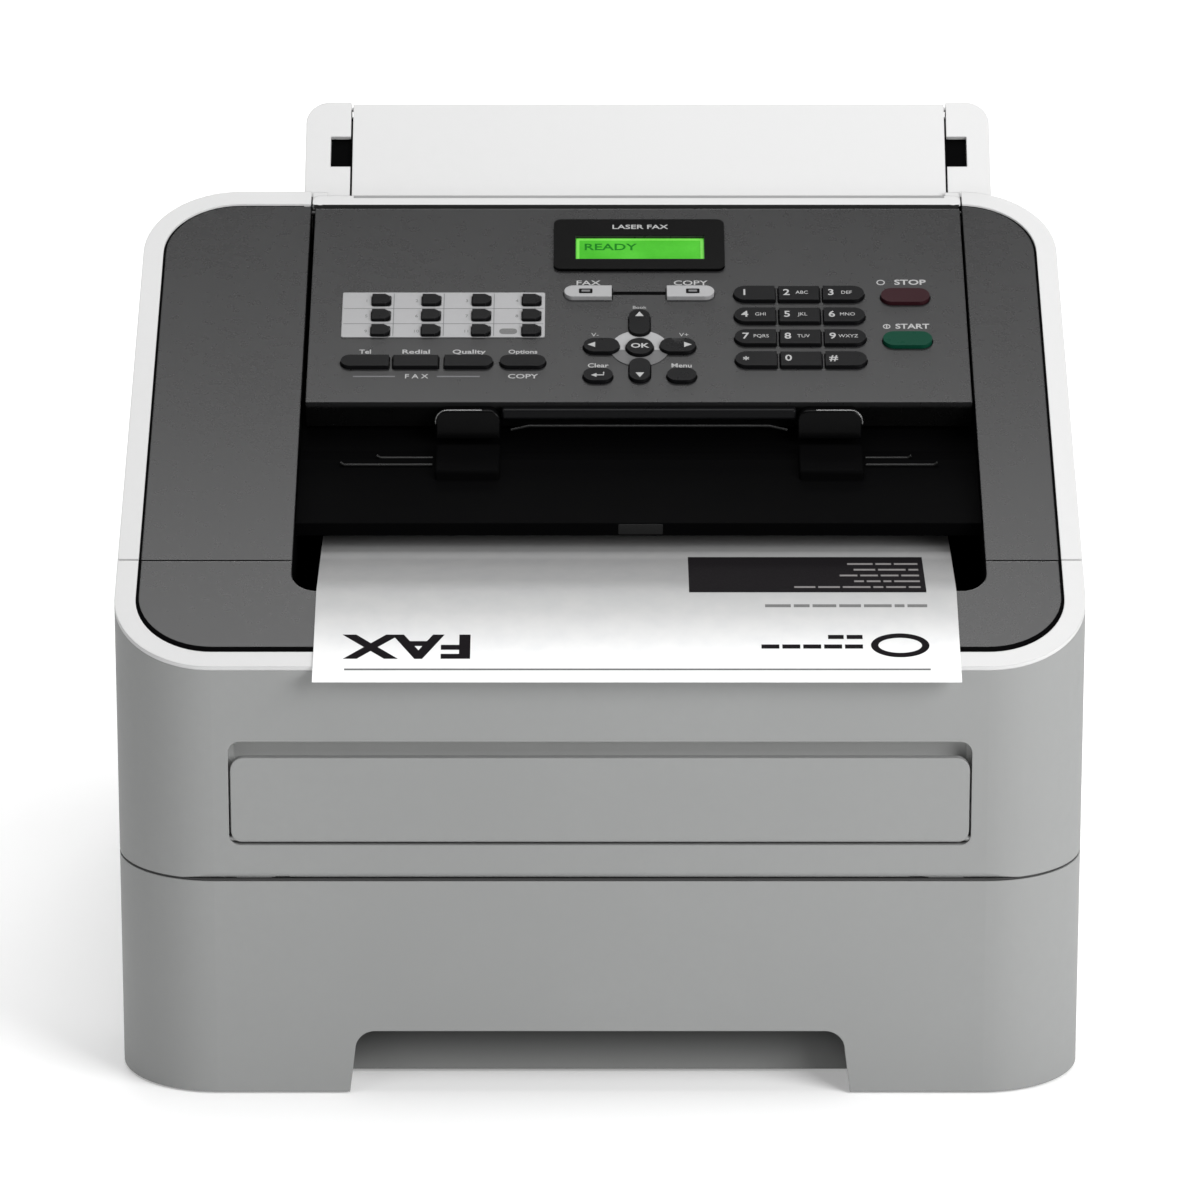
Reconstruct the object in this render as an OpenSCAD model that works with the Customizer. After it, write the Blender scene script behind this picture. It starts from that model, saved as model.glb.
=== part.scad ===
// Desktop laser fax machine.
// Frame: +X to the right, +Y to the back, +Z up; the origin is on the desk, under the body's middle.

/* [Body] */
// Width of the body
body_w = 368; // [360:1:380]
// Depth of the body, front face to rear face
body_d = 360; // [350:1:370]
// Radius of the front corners, seen from above
front_r = 38; // [30:1:42]
// Radius of the rear corners, seen from above
rear_r = 20; // [12:1:30]
// Thickness of the moulded walls
wall = 2.5; // [2:0.1:3]
// Height of the seam between the paper tray and the front cover
tray_top = 86.4; // [84:0.2:88]

/* [Sloped top] */
// Slope of the top, in degrees
slope = 21.5; // [20:0.5:23]
// Height of the sloped top where the white rim ends at the front
slope_z = 175.2; // [172:0.2:178]
// Width of the white rim round the top
rim_w = 8; // [6:0.5:10]
// Thickness of the rim and of the dark inlays inside it
inlay_t = 2.5; // [2:0.1:3]
// Where the front cover ends and the fixed top begins
seam_y = -121; // [-125:1:-118]
// Rear end of the raised part of the body
raised_y = 100; // [98:1:104]
// Gap left round covers and doors
seam_gap = 0.8; // [0.3:0.1:0.8]

/* [Output bay] */
// Left wall of the bay
bay_x0 = -117.5; // [-120:0.5:-112]
// Right wall of the bay
bay_x1 = 147.2; // [142:0.2:150]
// Front edge of the bay
bay_y0 = -138; // [-142:1:-132]
// Height of the bay floor at the seam
bay_floor_z = 170; // [164:1:174]
// Lower front edge of the hood over the bay
hood_z = 195.5; // [195:0.5:200]
// Front edge of the hood over the bay
hood_y = -91; // [-95:1:-75]

/* [Control panel] */
// Distance up the slope to the front edge of the panel
panel_s0 = 152.7; // [150:0.1:156]
// Distance up the slope to the rear edge of the panel
panel_s1 = 282; // [278:0.5:284]
// Thickness of the panel lid
panel_t = 12; // [10:0.5:13]
// How far the keys stand out of the panel
key_h = 1.6; // [1.2:0.1:2.2]
// Gap between a key and its opening
key_gap = 0.35; // [0.3:0.05:0.5]

/* [Paper tray] */
// Width of the largest sheet
sheet_w = 216; // [210:1:216]
// Half width of the grip notch at its lower edge
notch_w = 95.5; // [90:0.5:100]
// Height of the grip notch
notch_h = 25.6; // [22:0.2:28]
// Corner radius at the top of the grip notch
notch_r = 7.6; // [5:0.2:9]

/* [Front cover] */
// Half width of the manual feed door
door_w = 139.2; // [136:0.2:142]
// Lower edge of the manual feed door
door_z0 = 101.8; // [101:0.2:103]
// Upper edge of the manual feed door
door_z1 = 135.8; // [134:0.2:138]
// Upper edge of the recess behind the door
recess_z1 = 142.2; // [140:0.2:144]
// Thickness of the manual feed door
door_t = 3; // [2.5:0.1:3.5]

/* [Document tray] */
// Left edge of the document tray
doc_x0 = -120.5; // [-124:0.5:-118]
// Right edge of the document tray
doc_x1 = 159.5; // [156:0.5:163]
// Length of the document tray along its slope
doc_l = 47; // [42:1:50]
// Lean of the document tray, from the horizontal
doc_lean = 43; // [38:1:48]

/* [Hidden] */
$fn = 64;
eps = 0.01;
hx = body_w / 2;
front_y = -body_d / 2;
back_y = body_d / 2;
rim_y = front_y + rim_w;
base_z = 3;
shell_z = 165;
deck_z = 88;
deck_t = 2.5;
chassis_x = 165;
chassis_t = 3;
// The lowest bodies keep this far above the desk
tray_z = 0.8;
// Hinge line of the front cover
cover_hinge_y = front_y + 2.6;
cover_hinge_z = tray_top + 1 + 2.6;
// Eyes of that hinge: where they stand and how wide they are
eye_x = [-120, 120];
eye_w = 5;
// Hinge line of the manual feed door
door_hinge_r = 1.5;
door_hinge_y = front_y + door_hinge_r;
door_hinge_z = door_z0 + door_hinge_r;
// Hinge line of the back cover: [y, z]
back_hinge = [back_y - wall / 2, 100];
// The panel lid turns about a line just inside its rear upper edge
lid_hinge_r = 2;
lid_hinge_y = rim_y + (panel_s1 - lid_hinge_r) * cos(slope) + lid_hinge_r * sin(slope);
// Keys: the row pitch and column pitch of the number keys
dial_x = 61.7;
dial_s = 222;
dial_dx = 17.8;
dial_ds = 14.35;
dial_w = 16.4;
dial_h = 9.2;
dial_pill = [dial_x - dial_w / 2, dial_x + 2 * dial_dx + dial_w / 2];
nav_x = 15.7;
nav_s = 187;
touch_x = -87.3;
touch_s = 218;
touch_dx = 20;
touch_ds = 10;
touch_w = 7.2;
touch_h = 6.4;
fn_s = 177.7;
fn_h = 7.2;
fn_bar = [-102.4, -42.4];
fn_x = [-92.9, -72.8, -51.9, -30.5];
fn_w = [19, 18, 19, 18];
stop_s = 220.5;
start_s = 192;
action_x = 122;
action_w = 19.5;
mode_s = 223;
mode_x = [-4.8, 36.2];
lcd_x0 = -9.8;
lcd_x1 = 42;
lcd_s0 = 245;
lcd_s1 = 260.7;
bezel_x0 = -18.5;
bezel_x1 = 50;
bezel_s0 = 238.4;
bezel_s1 = 271.6;
// Flap of the document tray and the line of its pins along the plate
flap_x0 = -101.3;
flap_x1 = 141.2;
flap_l = 1.6;
flap_gap = 0.8;
flap_pin_l = doc_l - 2.5;
// Width of the windows in the ears beside the flap
window_w = 8.2;
// Sheet lying in the output bay
page_x0 = -107.6;
page_x1 = 135.2;
page_front_y = -189;
page_l = 297;
page_t = 0.3;
page_lift = 0.35;
// Rollers: [y, z, radius]
exit_roller = [93, 182.2, 6];
fuser = [112, 122, 13];
drum = [36, 108, 12];
pickup = [-92, 74.5, 12];
feeder = [52, 241.5, 7];

// Height of the sloped top above a given y
function top_z(y) = slope_z + (y - rim_y) * tan(slope);

// ---- Helpers ----

// An outline drawn in (y, z), extruded along x
module along_x(x0, x1) {
    translate([x0, 0, 0])
        rotate([90, 0, 90])
            linear_extrude(x1 - x0)
                children();
}

// A rod along x
module rod(x0, x1, y, z, r) {
    translate([x0, y, z])
        rotate([0, 90, 0])
            cylinder(h = x1 - x0, r = r);
}

// A box given by its two corners
module block(a, b) {
    translate(a)
        cube(b - a);
}

// A rectangle with one radius at the front corners and another at the rear ones
module rounded(x0, x1, y0, y1, rf, rb) {
    translate([x0, y0 + rf])
        square([x1 - x0, y1 - y0 - rf - rb]);
    translate([x0 + rf, y0])
        square([x1 - x0 - 2 * rf, rf + eps]);
    translate([x0 + rb, y1 - rb - eps])
        square([x1 - x0 - 2 * rb, rb + eps]);
    for (x = [x0 + rf, x1 - rf])
        translate([x, y0 + rf])
            circle(r = rf, $fn = 96);
    for (x = [x0 + rb, x1 - rb])
        translate([x, y1 - rb])
            circle(r = rb, $fn = 96);
}

// Plan of the whole body and plan of its raised part, both moved inwards by a distance
module body_plan(in = 0) {
    rounded(-hx + in, hx - in, front_y + in, back_y - in, front_r - in, rear_r - in);
}
module raised_plan(in = 0) {
    rounded(-hx + in, hx - in, front_y + in, raised_y - in, front_r - in, front_r - in);
}

// Everything between two planes parallel to the sloped top, at the given depths below it
module slope_layer(deep, shallow, y0 = -200, y1 = 120) {
    along_x(-hx - 10, hx + 10)
        polygon([
            [y0, top_z(y0) - deep], [y1, top_z(y1) - deep],
            [y1, top_z(y1) - shallow], [y0, top_z(y0) - shallow]
        ]);
}

// Everything under the sloped top, less a depth
module under_slope(depth = 0) {
    along_x(-hx - 10, hx + 10)
        polygon([[-200, -5], [200, -5], [200, top_z(200) - depth], [-200, top_z(-200) - depth]]);
}

// Places children in the frame of the sloped top: x, distance up the slope, height above it
module on_slope() {
    translate([0, rim_y, slope_z])
        rotate([slope, 0, 0])
            children();
}

// A pill lying between x0 and x1, centred on s
module pill(x0, x1, s, h) {
    r = h / 2;
    translate([x0 + r, s - r])
        square([x1 - x0 - h, h]);
    for (x = [x0 + r, x1 - r])
        translate([x, s])
            circle(r = r);
}

// An upright pill, centred on x
module tall_pill(x, s0, s1, w) {
    r = w / 2;
    translate([x - r, s0 + r])
        square([w, s1 - s0 - w]);
    for (s = [s0 + r, s1 - r])
        translate([x, s])
            circle(r = r);
}

// ---- Outlines of the keys, in (x, distance up the slope); grow widens them all round ----

module dial_outline(col, row, grow = 0) {
    s = dial_s - row * dial_ds;
    intersection() {
        pill(dial_pill[0] - grow, dial_pill[1] + grow, s, dial_h + 2 * grow);
        translate([dial_x + col * dial_dx - dial_w / 2 - grow, s - dial_h])
            square([dial_w + 2 * grow, 2 * dial_h]);
    }
}
module function_outline(i, grow = 0) {
    x0 = fn_x[i] - fn_w[i] / 2 - grow;
    x1 = fn_x[i] + fn_w[i] / 2 + grow;
    if (i == 3)
        pill(x0, x1, fn_s, fn_h + 2 * grow);
    else
        intersection() {
            pill(fn_bar[0] - grow, fn_bar[1] + grow, fn_s, fn_h + 2 * grow);
            translate([x0, fn_s - fn_h])
                square([x1 - x0, 2 * fn_h]);
        }
}
module action_outline(s, grow = 0) {
    pill(action_x - action_w / 2 - grow, action_x + action_w / 2 + grow, s, 9.2 + 2 * grow);
}
// Mode keys: round at the outer end, square at the inner end
module mode_outline(i, grow = 0) {
    half = 9.5 + grow;
    pill(mode_x[i] - half, mode_x[i] + half, mode_s, 7.4 + 2 * grow);
    translate([i == 0 ? mode_x[0] : mode_x[1] - half, mode_s - 3.7 - grow])
        square([half, 7.4 + 2 * grow]);
}
module up_outline(grow = 0) {
    tall_pill(nav_x, nav_s + 7.8 - grow, nav_s + 24 + grow, 8.2 + 2 * grow);
}
module down_outline(grow = 0) {
    tall_pill(nav_x, nav_s - 22 - grow, nav_s - 7.8 + grow, 8.2 + 2 * grow);
}
module side_outline(dir, grow = 0) {
    near = nav_x + dir * 8.1;
    far = nav_x + dir * 22.2;
    pill(min(near, far) - grow, max(near, far) + grow, nav_s + 0.8, 8.8 + 2 * grow);
}
module ok_outline(grow = 0) {
    translate([nav_x, nav_s])
        circle(r = 5.2 + grow);
}
module small_outline(x, grow = 0) {
    pill(x - 5.8 - grow, x + 5.8 + grow, nav_s - 18.2, 8.2 + 2 * grow);
}
module touch_outline(col, row, grow = 0) {
    x = touch_x + col * touch_dx;
    s = touch_s - row * touch_ds;
    translate([x - touch_w / 2 - grow, s - touch_h / 2 - grow])
        square([touch_w - 2 + grow, touch_h + 2 * grow]);
    translate([x + touch_w / 2 - touch_h / 2, s])
        circle(r = touch_h / 2 + grow);
}

// A key: a cap that stands out of the panel, on a stem that reaches into the lid
module key_solid() {
    on_slope()
        translate([0, 0, -5.5])
            linear_extrude(5.5 + key_h)
                children();
}

module dark_key() {
    color([0.12, 0.12, 0.12])
        key_solid()
            children();
}

// ---- Frame and casing ----

module base_frame() {
    color("dimgray") {
        difference() {
            intersection() {
                translate([0, 0, base_z])
                    linear_extrude(2.5)
                        body_plan(wall + 1);
                block([-hx, seam_y + 4, 0], [hx, back_y, 20]);
            }
            for (x = [-110, 0, 110])
                block([x - 40, -90, base_z - 1], [x + 40, 120, base_z + 4]);
        }
        for (side = [-1, 1])
            side_plate(side);
        // deck over the paper tray, with the slot that paper is fed up through
        difference() {
            block([-chassis_x, seam_y + 4, deck_z], [chassis_x, 165, deck_z + deck_t]);
            block([-112, -112, deck_z - 1], [112, -60, deck_z + 4]);
        }
        // front beam and the eyes that carry the front cover
        block([-chassis_x, -168, deck_z], [chassis_x, -162, deck_z + 4]);
        for (x = eye_x)
            hinge_eye(x);
        // tie bars behind
        block([-chassis_x, 168, 60], [chassis_x, 172, 72]);
        block([-chassis_x, 164, deck_z], [chassis_x, 172, deck_z + deck_t]);
    }
}
// One steel side plate, with bearing bores for the shafts and ribs that hold the cover
module side_plate(side) {
    x0 = side > 0 ? chassis_x : -chassis_x - chassis_t;
    difference() {
        union() {
            block([x0, seam_y + 4, base_z], [x0 + chassis_t, 172, shell_z]);
            block([x0, -168, deck_z], [x0 + chassis_t, seam_y + 5, deck_z + 16]);
        }
        for (r = [fuser, drum])
            rod(x0 - 1, x0 + chassis_t + 1, r[0], r[1], 4.1);
        rod(x0 - 1, x0 + chassis_t + 1, pickup[0], pickup[1], 4.1);
    }
    for (y = [-100, 20, 115], z = [30, 140])
        block(
            [side > 0 ? x0 + chassis_t : -hx + wall, y, z],
            [side > 0 ? hx - wall : x0, y + 3, z + 12]
        );
}
module hinge_eye(x) {
    difference() {
        union() {
            rod(x - eye_w / 2, x + eye_w / 2, cover_hinge_y, cover_hinge_z, 1.8);
            block(
                [x - eye_w / 2, cover_hinge_y, cover_hinge_z - 1.4],
                [x + eye_w / 2, -165, cover_hinge_z + 1.4]
            );
        }
        rod(x - 5, x + 5, cover_hinge_y, cover_hinge_z, 1.1);
    }
}

// A side cover wraps the side and the rear corner
module side_cover(side) {
    color("whitesmoke")
        difference() {
            linear_extrude(shell_z - base_z)
                difference() {
                    body_plan();
                    body_plan(wall);
                    translate([-hx - 5, -200])
                        square([body_w + 10, 200 + seam_y + seam_gap / 2]);
                    translate([side > 0 ? -hx - 5 : -150, -200])
                        square([hx + 155, 400]);
                }
            // cooling slots
            for (i = [0:9])
                block([-hx - 5, 60 + 9 * i, 90], [hx + 5, 64.5 + 9 * i, 120]);
            if (side > 0)
                block([hx - 10, 128, 40 - base_z], [hx + 5, 146, 62 - base_z]);
        }
}
module left_side_cover() {
    translate([0, 0, base_z])
        side_cover(-1);
}
module right_side_cover() {
    translate([0, 0, base_z])
        side_cover(1);
}

// White upper housing: sloped rim, side walls, rear deck and rear wall
module upper_housing() {
    color("white") {
        difference() {
            intersection() {
                translate([0, 0, shell_z])
                    linear_extrude(140)
                        difference() {
                            raised_plan();
                            raised_plan(wall);
                        }
                under_slope();
                block([-hx - 1, seam_y + seam_gap / 2, 0], [hx + 1, 200, 300]);
            }
            // the document tray stands in this cut in the rear wall
            block([bay_x0 - 3.2, raised_y - 8, 258], [bay_x1 + 12.6, raised_y + 2, 300]);
            sheet_path_cut();
        }
        // rim, and under it the ledge that carries the inlays
        intersection() {
            difference() {
                translate([0, 0, shell_z])
                    linear_extrude(140)
                        difference() {
                            raised_plan();
                            raised_plan(rim_w);
                        }
                block([bay_x0, 60, 150], [bay_x1, 200, 300]);
            }
            slope_layer(inlay_t, 0, seam_y + seam_gap / 2);
        }
        intersection() {
            difference() {
                translate([0, 0, shell_z])
                    linear_extrude(140)
                        difference() {
                            raised_plan(wall - 1);
                            raised_plan(rim_w + 5);
                        }
                block([bay_x0 - wall - 0.3, 60, 150], [bay_x1 + wall + 0.3, 200, 300]);
            }
            slope_layer(2 * inlay_t, inlay_t, seam_y + seam_gap / 2);
        }
        // flanges that rest on the side plates
        for (x = [-hx + wall - eps, chassis_x - 3])
            block([x, seam_y + 6, shell_z], [x + hx - chassis_x + 3 - wall + eps, 60, shell_z + wall]);
        rear_deck();
    }
}
// Opening that the sheet path takes between the raised part and the lower deck
module sheet_path_cut() {
    block([bay_x0 - 10, raised_y - 8, shell_z - 1], [bay_x1 + 10, raised_y + 2, 206]);
}
// Lower deck behind the raised part, with the rear wall and the frame of the back cover
module rear_deck() {
    difference() {
        translate([0, 0, shell_z])
            linear_extrude(50)
                behind_raised(0, wall);
        translate([0, 0, shell_z - 1])
            linear_extrude(51 - wall)
                behind_raised(wall, 0);
        block([-127.5, back_y - 8, shell_z - 1], [127.5, back_y + 1, 192.5]);
        // the sheet path runs through its front wall
        sheet_path_cut();
        // exhaust slots in the deck
        for (i = [0:11])
            block([-120 + 20 * i, 125, 200], [-106 + 20 * i, 160, 220]);
    }
    // rear wall under the seam
    difference() {
        block(
            [-150 + seam_gap / 2, back_y - wall, base_z],
            [150 - seam_gap / 2, back_y, shell_z + eps]
        );
        block([-127.5, back_y - 8, 97.5], [127.5, back_y + 1, 192.5]);
        rod(-129.5, 129.5, back_hinge[0], back_hinge[1], 1);
        block([62, back_y - 8, 24], [142, back_y + 1, 52]);
    }
}

// Plan of the deck: the body behind the raised part's rounded corners
module behind_raised(in, overlap) {
    difference() {
        body_plan(in);
        raised_plan(overlap);
        translate([-hx - 1, -200])
            square([body_w + 2, 200 + raised_y - front_r]);
    }
}

// Dark inlays on the two arms beside the control panel
module top_inlays() {
    color([0.3, 0.3, 0.31])
        difference() {
            intersection() {
                translate([0, 0, shell_z])
                    linear_extrude(140)
                        difference() {
                            raised_plan(rim_w + 1);
                            translate([bay_x0, -200])
                                square([bay_x1 - bay_x0, 400]);
                        }
                slope_layer(inlay_t, 0.4, seam_y + seam_gap / 2);
            }
            lid_pin_bores();
        }
}
// Bores for the pins that the panel lid turns on
module lid_pin_bores() {
    on_slope()
        rod(bay_x0 - 2.6, bay_x1 + 2.6, panel_s1 - lid_hinge_r, -lid_hinge_r, 1.1);
}

// Black bay that the printed pages come out into
module output_bay() {
    color([0.06, 0.06, 0.06])
        difference() {
            union() {
                // floor
                along_x(bay_x0 - wall, bay_x1 + wall)
                    polygon([
                        [seam_y + seam_gap / 2, bay_floor_z - wall], [-60, 163], [86, 174],
                        [86, 174 + wall], [-60, 163 + wall], [seam_y + seam_gap / 2, bay_floor_z]
                    ]);
                // side walls
                for (x = [bay_x0 - wall, bay_x1])
                    along_x(x, x + wall)
                        polygon([
                            [seam_y + seam_gap / 2, bay_floor_z - wall], [-60, 163], [86, 174],
                            [96, 174], [96, top_z(96) - inlay_t],
                            [seam_y + seam_gap / 2, top_z(seam_y) - inlay_t]
                        ]);
                // rear wall with the slot that the sheet comes through
                block([bay_x0 - wall, 84, 174], [bay_x1 + wall, 84 + wall, 185.4]);
                block([bay_x0 - wall, 84, 195.2], [bay_x1 + wall, 84 + wall, 198]);
            }
            lid_pin_bores();
            // bores for the shaft of the exit rollers
            rod(-130, 160, exit_roller[0], exit_roller[1], 2.6);
            rod(-130, 160, feeder[0], feeder[1], 2.6);
        }
}

// Black hood over the rear of the bay; its top is the lower guide of the document path
module exit_hood() {
    gap = panel_t + 3;
    color([0.09, 0.09, 0.09])
        difference() {
            along_x(bay_x0 + 0.1, bay_x1 - 0.1)
                polygon([
                    [-36, top_z(-36) - gap - 1], [-48, 213], [-62, 209], [hood_y, 200.5],
                    [hood_y, hood_z], [83.9, 198.2], [95, 198.2], [95, top_z(95) - gap]
                ]);
            along_x(bay_x0 + wall, bay_x1 - wall)
                polygon([
                    [-36, top_z(-36) - gap - 1 - wall], [-62, 206], [hood_y + 4, 199.2],
                    [hood_y + 4, hood_z + wall], [93, 200.7], [93, top_z(93) - gap - wall]
                ]);
            // window for the feed roller
            block([-20, feeder[0] - 9, feeder[1] - 12], [50, feeder[0] + 9, feeder[1] + 30]);
            rod(-130, 160, feeder[0], feeder[1], 2.6);
        }
}

module rubber_feet() {
    color([0.15, 0.15, 0.15])
        for (x = [-145, 145], y = [-95, 150])
            translate([x, y, 0])
                cylinder(h = base_z, r = 9);
}

// ---- Paper tray ----

module paper_tray() {
    color([0.6, 0.6, 0.6]) {
        difference() {
            translate([0, 0, tray_z])
                linear_extrude(tray_top - tray_z)
                    difference() {
                        body_plan();
                        body_plan(wall);
                        translate([-hx - 5, seam_y - seam_gap / 2])
                            square([body_w + 10, 400]);
                    }
            along_y(front_y - 5, -165)
                notch_outline();
        }
        grip_recess();
        difference() {
            tray_box();
            grip_recess_space();
        }
    }
}
// Outline of the grip notch, wider at its foot and rounded at the top
module notch_outline() {
    top_w = notch_w - 2.2;
    polygon([
        [-notch_w, -5], [notch_w, -5], [notch_w, 0],
        [top_w, notch_h - notch_r], [-top_w, notch_h - notch_r], [-notch_w, 0]
    ]);
    translate([notch_r - top_w, notch_h - notch_r - eps])
        square([2 * (top_w - notch_r), notch_r + eps]);
    for (side = [-1, 1])
        translate([side * (top_w - notch_r), notch_h - notch_r])
            circle(r = notch_r);
}
// Walls of the recess behind the grip notch
module grip_recess() {
    difference() {
        block(
            [-notch_w - wall, front_y + wall - eps, tray_z + 1],
            [notch_w + wall, -156.5, notch_h + wall]
        );
        grip_recess_space();
    }
}
module grip_recess_space() {
    block([-notch_w, front_y - 5, -5], [notch_w, -159, notch_h]);
}
// Drawer behind the front panel, with the low front wall and long sides
module tray_box() {
    box_w = 128;
    difference() {
        block([-box_w, front_y + wall - eps, 6.2], [box_w, 128, 60]);
        block([-box_w + wall, -156.5, 8.7], [box_w - wall, 128 - wall, 70]);
        block([-box_w + wall, front_y + 5, notch_h + wall], [box_w - wall, -154, 70]);
        // the sides drop away behind
        along_x(-box_w - 1, box_w + 1)
            polygon([[-20, 61], [10, 30], [140, 30], [140, 61]]);
        // bores for the pins of the lift plate
        rod(-box_w - 1, box_w + 1, -24, 12, 1.6);
    }
    // slots between the front panel and the drawer keep the panel straight
    for (x = [-150, 150 - wall])
        block([x, front_y + wall - eps, 10], [x + wall, -150, 60]);
    for (side = [-1, 1])
        block([side > 0 ? box_w - wall : -150, -153, 10], [side > 0 ? 150 : -box_w + wall, -150.5, 60]);
}

module lift_plate() {
    color("silver") {
        difference() {
            block([-105, -152, 10.4], [105, -21, 11.6]);
            // clearance for a fingertip under the stack
            translate([0, -152, 5])
                cylinder(h = 10, r = 14);
        }
        rod(-127, 127, -24, 12, 1.5);
    }
}

module paper_guide(side) {
    x = side * (sheet_w / 2 + 0.5);
    color([0.25, 0.25, 0.27]) {
        block([min(x, x + side * 2), 0, 9], [max(x, x + side * 2), 70, 40]);
        block([min(x, x - side * 26), 20, 9], [max(x, x - side * 26), 44, 11]);
        block([min(x, x + side * 6), 25, 9], [max(x, x + side * 6), 39, 20]);
    }
}
module paper_guide_left() {
    paper_guide(-1);
}
module paper_guide_right() {
    paper_guide(1);
}

// ---- Front cover ----

module front_cover() {
    color([0.6, 0.6, 0.6]) {
        difference() {
            intersection() {
                translate([0, 0, tray_top + 1])
                    linear_extrude(140)
                        difference() {
                            body_plan();
                            body_plan(wall);
                            translate([-hx - 5, seam_y - seam_gap / 2])
                                square([body_w + 10, 400]);
                        }
                under_slope(inlay_t - 1);
            }
            along_y(front_y - 1, -170)
                recess_outline();
            door_bores();
            hinge_cuts();
        }
        cover_ledge();
        door_recess();
        for (x = eye_x)
            rod(x - eye_w, x + eye_w, cover_hinge_y, cover_hinge_z, 1);
    }
}
// Room for the hinge eyes, and the rounded lower edge that the cover turns about
module hinge_cuts() {
    half = eye_w / 2 + 0.3;
    for (x = eye_x) {
        rod(x - half, x + half, cover_hinge_y, cover_hinge_z, 2.1);
        block([x - half, cover_hinge_y - 1.7, tray_top], [x + half, -170, cover_hinge_z]);
        block([x - half, cover_hinge_y, tray_top], [x + half, -170, cover_hinge_z + 2.3]);
    }
    difference() {
        block([-hx, front_y - 1, tray_top], [hx, cover_hinge_y, cover_hinge_z]);
        rod(-hx, hx, cover_hinge_y, cover_hinge_z, cover_hinge_y - front_y);
    }
}
// Ledge under the rim and the inlay
module cover_ledge() {
    intersection() {
        linear_extrude(260)
            difference() {
                body_plan(wall - 1);
                body_plan(rim_w + 5);
                translate([-hx - 5, seam_y - seam_gap / 2])
                    square([body_w + 10, 400]);
            }
        slope_layer(2 * inlay_t, inlay_t, -200, seam_y - seam_gap / 2);
    }
}
// Pocket behind the manual feed door, with the feed slot in its back wall
module door_recess() {
    difference() {
        block([-142.5, front_y + 1, 98.5], [142.5, -158, recess_z1 + wall]);
        // the door's own space
        along_y(front_y - 1, front_y + 6)
            recess_outline();
        // feed path
        block([-112, front_y - 1, 103], [112, -160.5, 128]);
        block([-112, -162, 108], [112, -150, 116]);
        // finger recess sloping in above the door
        along_x(-138, 138)
            polygon([[front_y - 1, 133], [front_y + 6, 126], [-172.8, 128],
                [-172.8, recess_z1 - 1], [front_y - 1, recess_z1 - 1]]);
        door_bores();
        hinge_cuts();
    }
}
// Outline of the pocket in the front face, in (x, z)
module recess_outline() {
    rounded(-140, 140, 101, recess_z1, 4, 4.6);
}
// Bores for the pins of the manual feed door
module door_bores() {
    rod(-142, 142, door_hinge_y, door_hinge_z, 1.1);
}

module front_rim() {
    color("white")
        intersection() {
            linear_extrude(260)
                difference() {
                    body_plan();
                    body_plan(rim_w);
                    translate([-hx - 5, seam_y - seam_gap / 2])
                        square([body_w + 10, 400]);
                }
            slope_layer(inlay_t - 1, 0, -200, seam_y - seam_gap / 2);
        }
    color("white")
        intersection() {
            linear_extrude(260)
                difference() {
                    body_plan(wall);
                    body_plan(rim_w);
                    translate([-hx - 5, seam_y - seam_gap / 2])
                        square([body_w + 10, 400]);
                }
            slope_layer(inlay_t, inlay_t - 1 - eps, -200, seam_y - seam_gap / 2);
        }
}

// Dark inlay of the front cover, with the front end of the bay cut into it
module front_inlay() {
    color([0.38, 0.38, 0.39]) {
        intersection() {
            linear_extrude(260)
                difference() {
                    body_plan(rim_w + 1);
                    rounded(bay_x0, bay_x1, bay_y0, 0, 10, 1);
                    translate([-hx - 5, seam_y - seam_gap / 2])
                        square([body_w + 10, 400]);
                }
            slope_layer(inlay_t, 0.4, -200, seam_y - seam_gap / 2);
        }
        // skirt round the front end of the bay
        intersection() {
            linear_extrude(260)
                difference() {
                    rounded(bay_x0 - 2, bay_x1 + 2, bay_y0 - 2, 0, 12, 1);
                    rounded(bay_x0, bay_x1, bay_y0, 0, 10, 1);
                    translate([-hx - 5, seam_y - seam_gap / 2])
                        square([body_w + 10, 400]);
                }
            slope_layer(30, inlay_t - eps, -200, seam_y - seam_gap / 2);
            block([-hx, -200, bay_floor_z], [hx, 0, 260]);
        }
    }
}

module manual_feed_door() {
    color([0.6, 0.6, 0.6]) {
        difference() {
            rotate([90, 0, 0])
                translate([0, 0, -front_y - door_t])
                    linear_extrude(door_t)
                        rounded(-door_w, door_w, door_z0, door_z1, 5, 5);
            // rounded lower edge that the door turns about
            difference() {
                block(
                    [-door_w - 1, front_y - 1, door_z0 - 1],
                    [door_w + 1, door_hinge_y, door_hinge_z]
                );
                rod(-door_w - 2, door_w + 2, door_hinge_y, door_hinge_z, door_hinge_r);
            }
            difference() {
                block(
                    [-door_w - 1, door_hinge_y, door_z0 - 1],
                    [door_w + 1, front_y + 4, door_hinge_z]
                );
                rod(-door_w - 2, door_w + 2, door_hinge_y, door_hinge_z, door_hinge_r);
            }
        }
        for (side = [-1, 1])
            rod(
                side > 0 ? door_w - 6 : -141.5, side > 0 ? 141.5 : -door_w + 6,
                door_hinge_y, door_hinge_z, 1
            );
    }
}

// ---- Control panel ----

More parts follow.
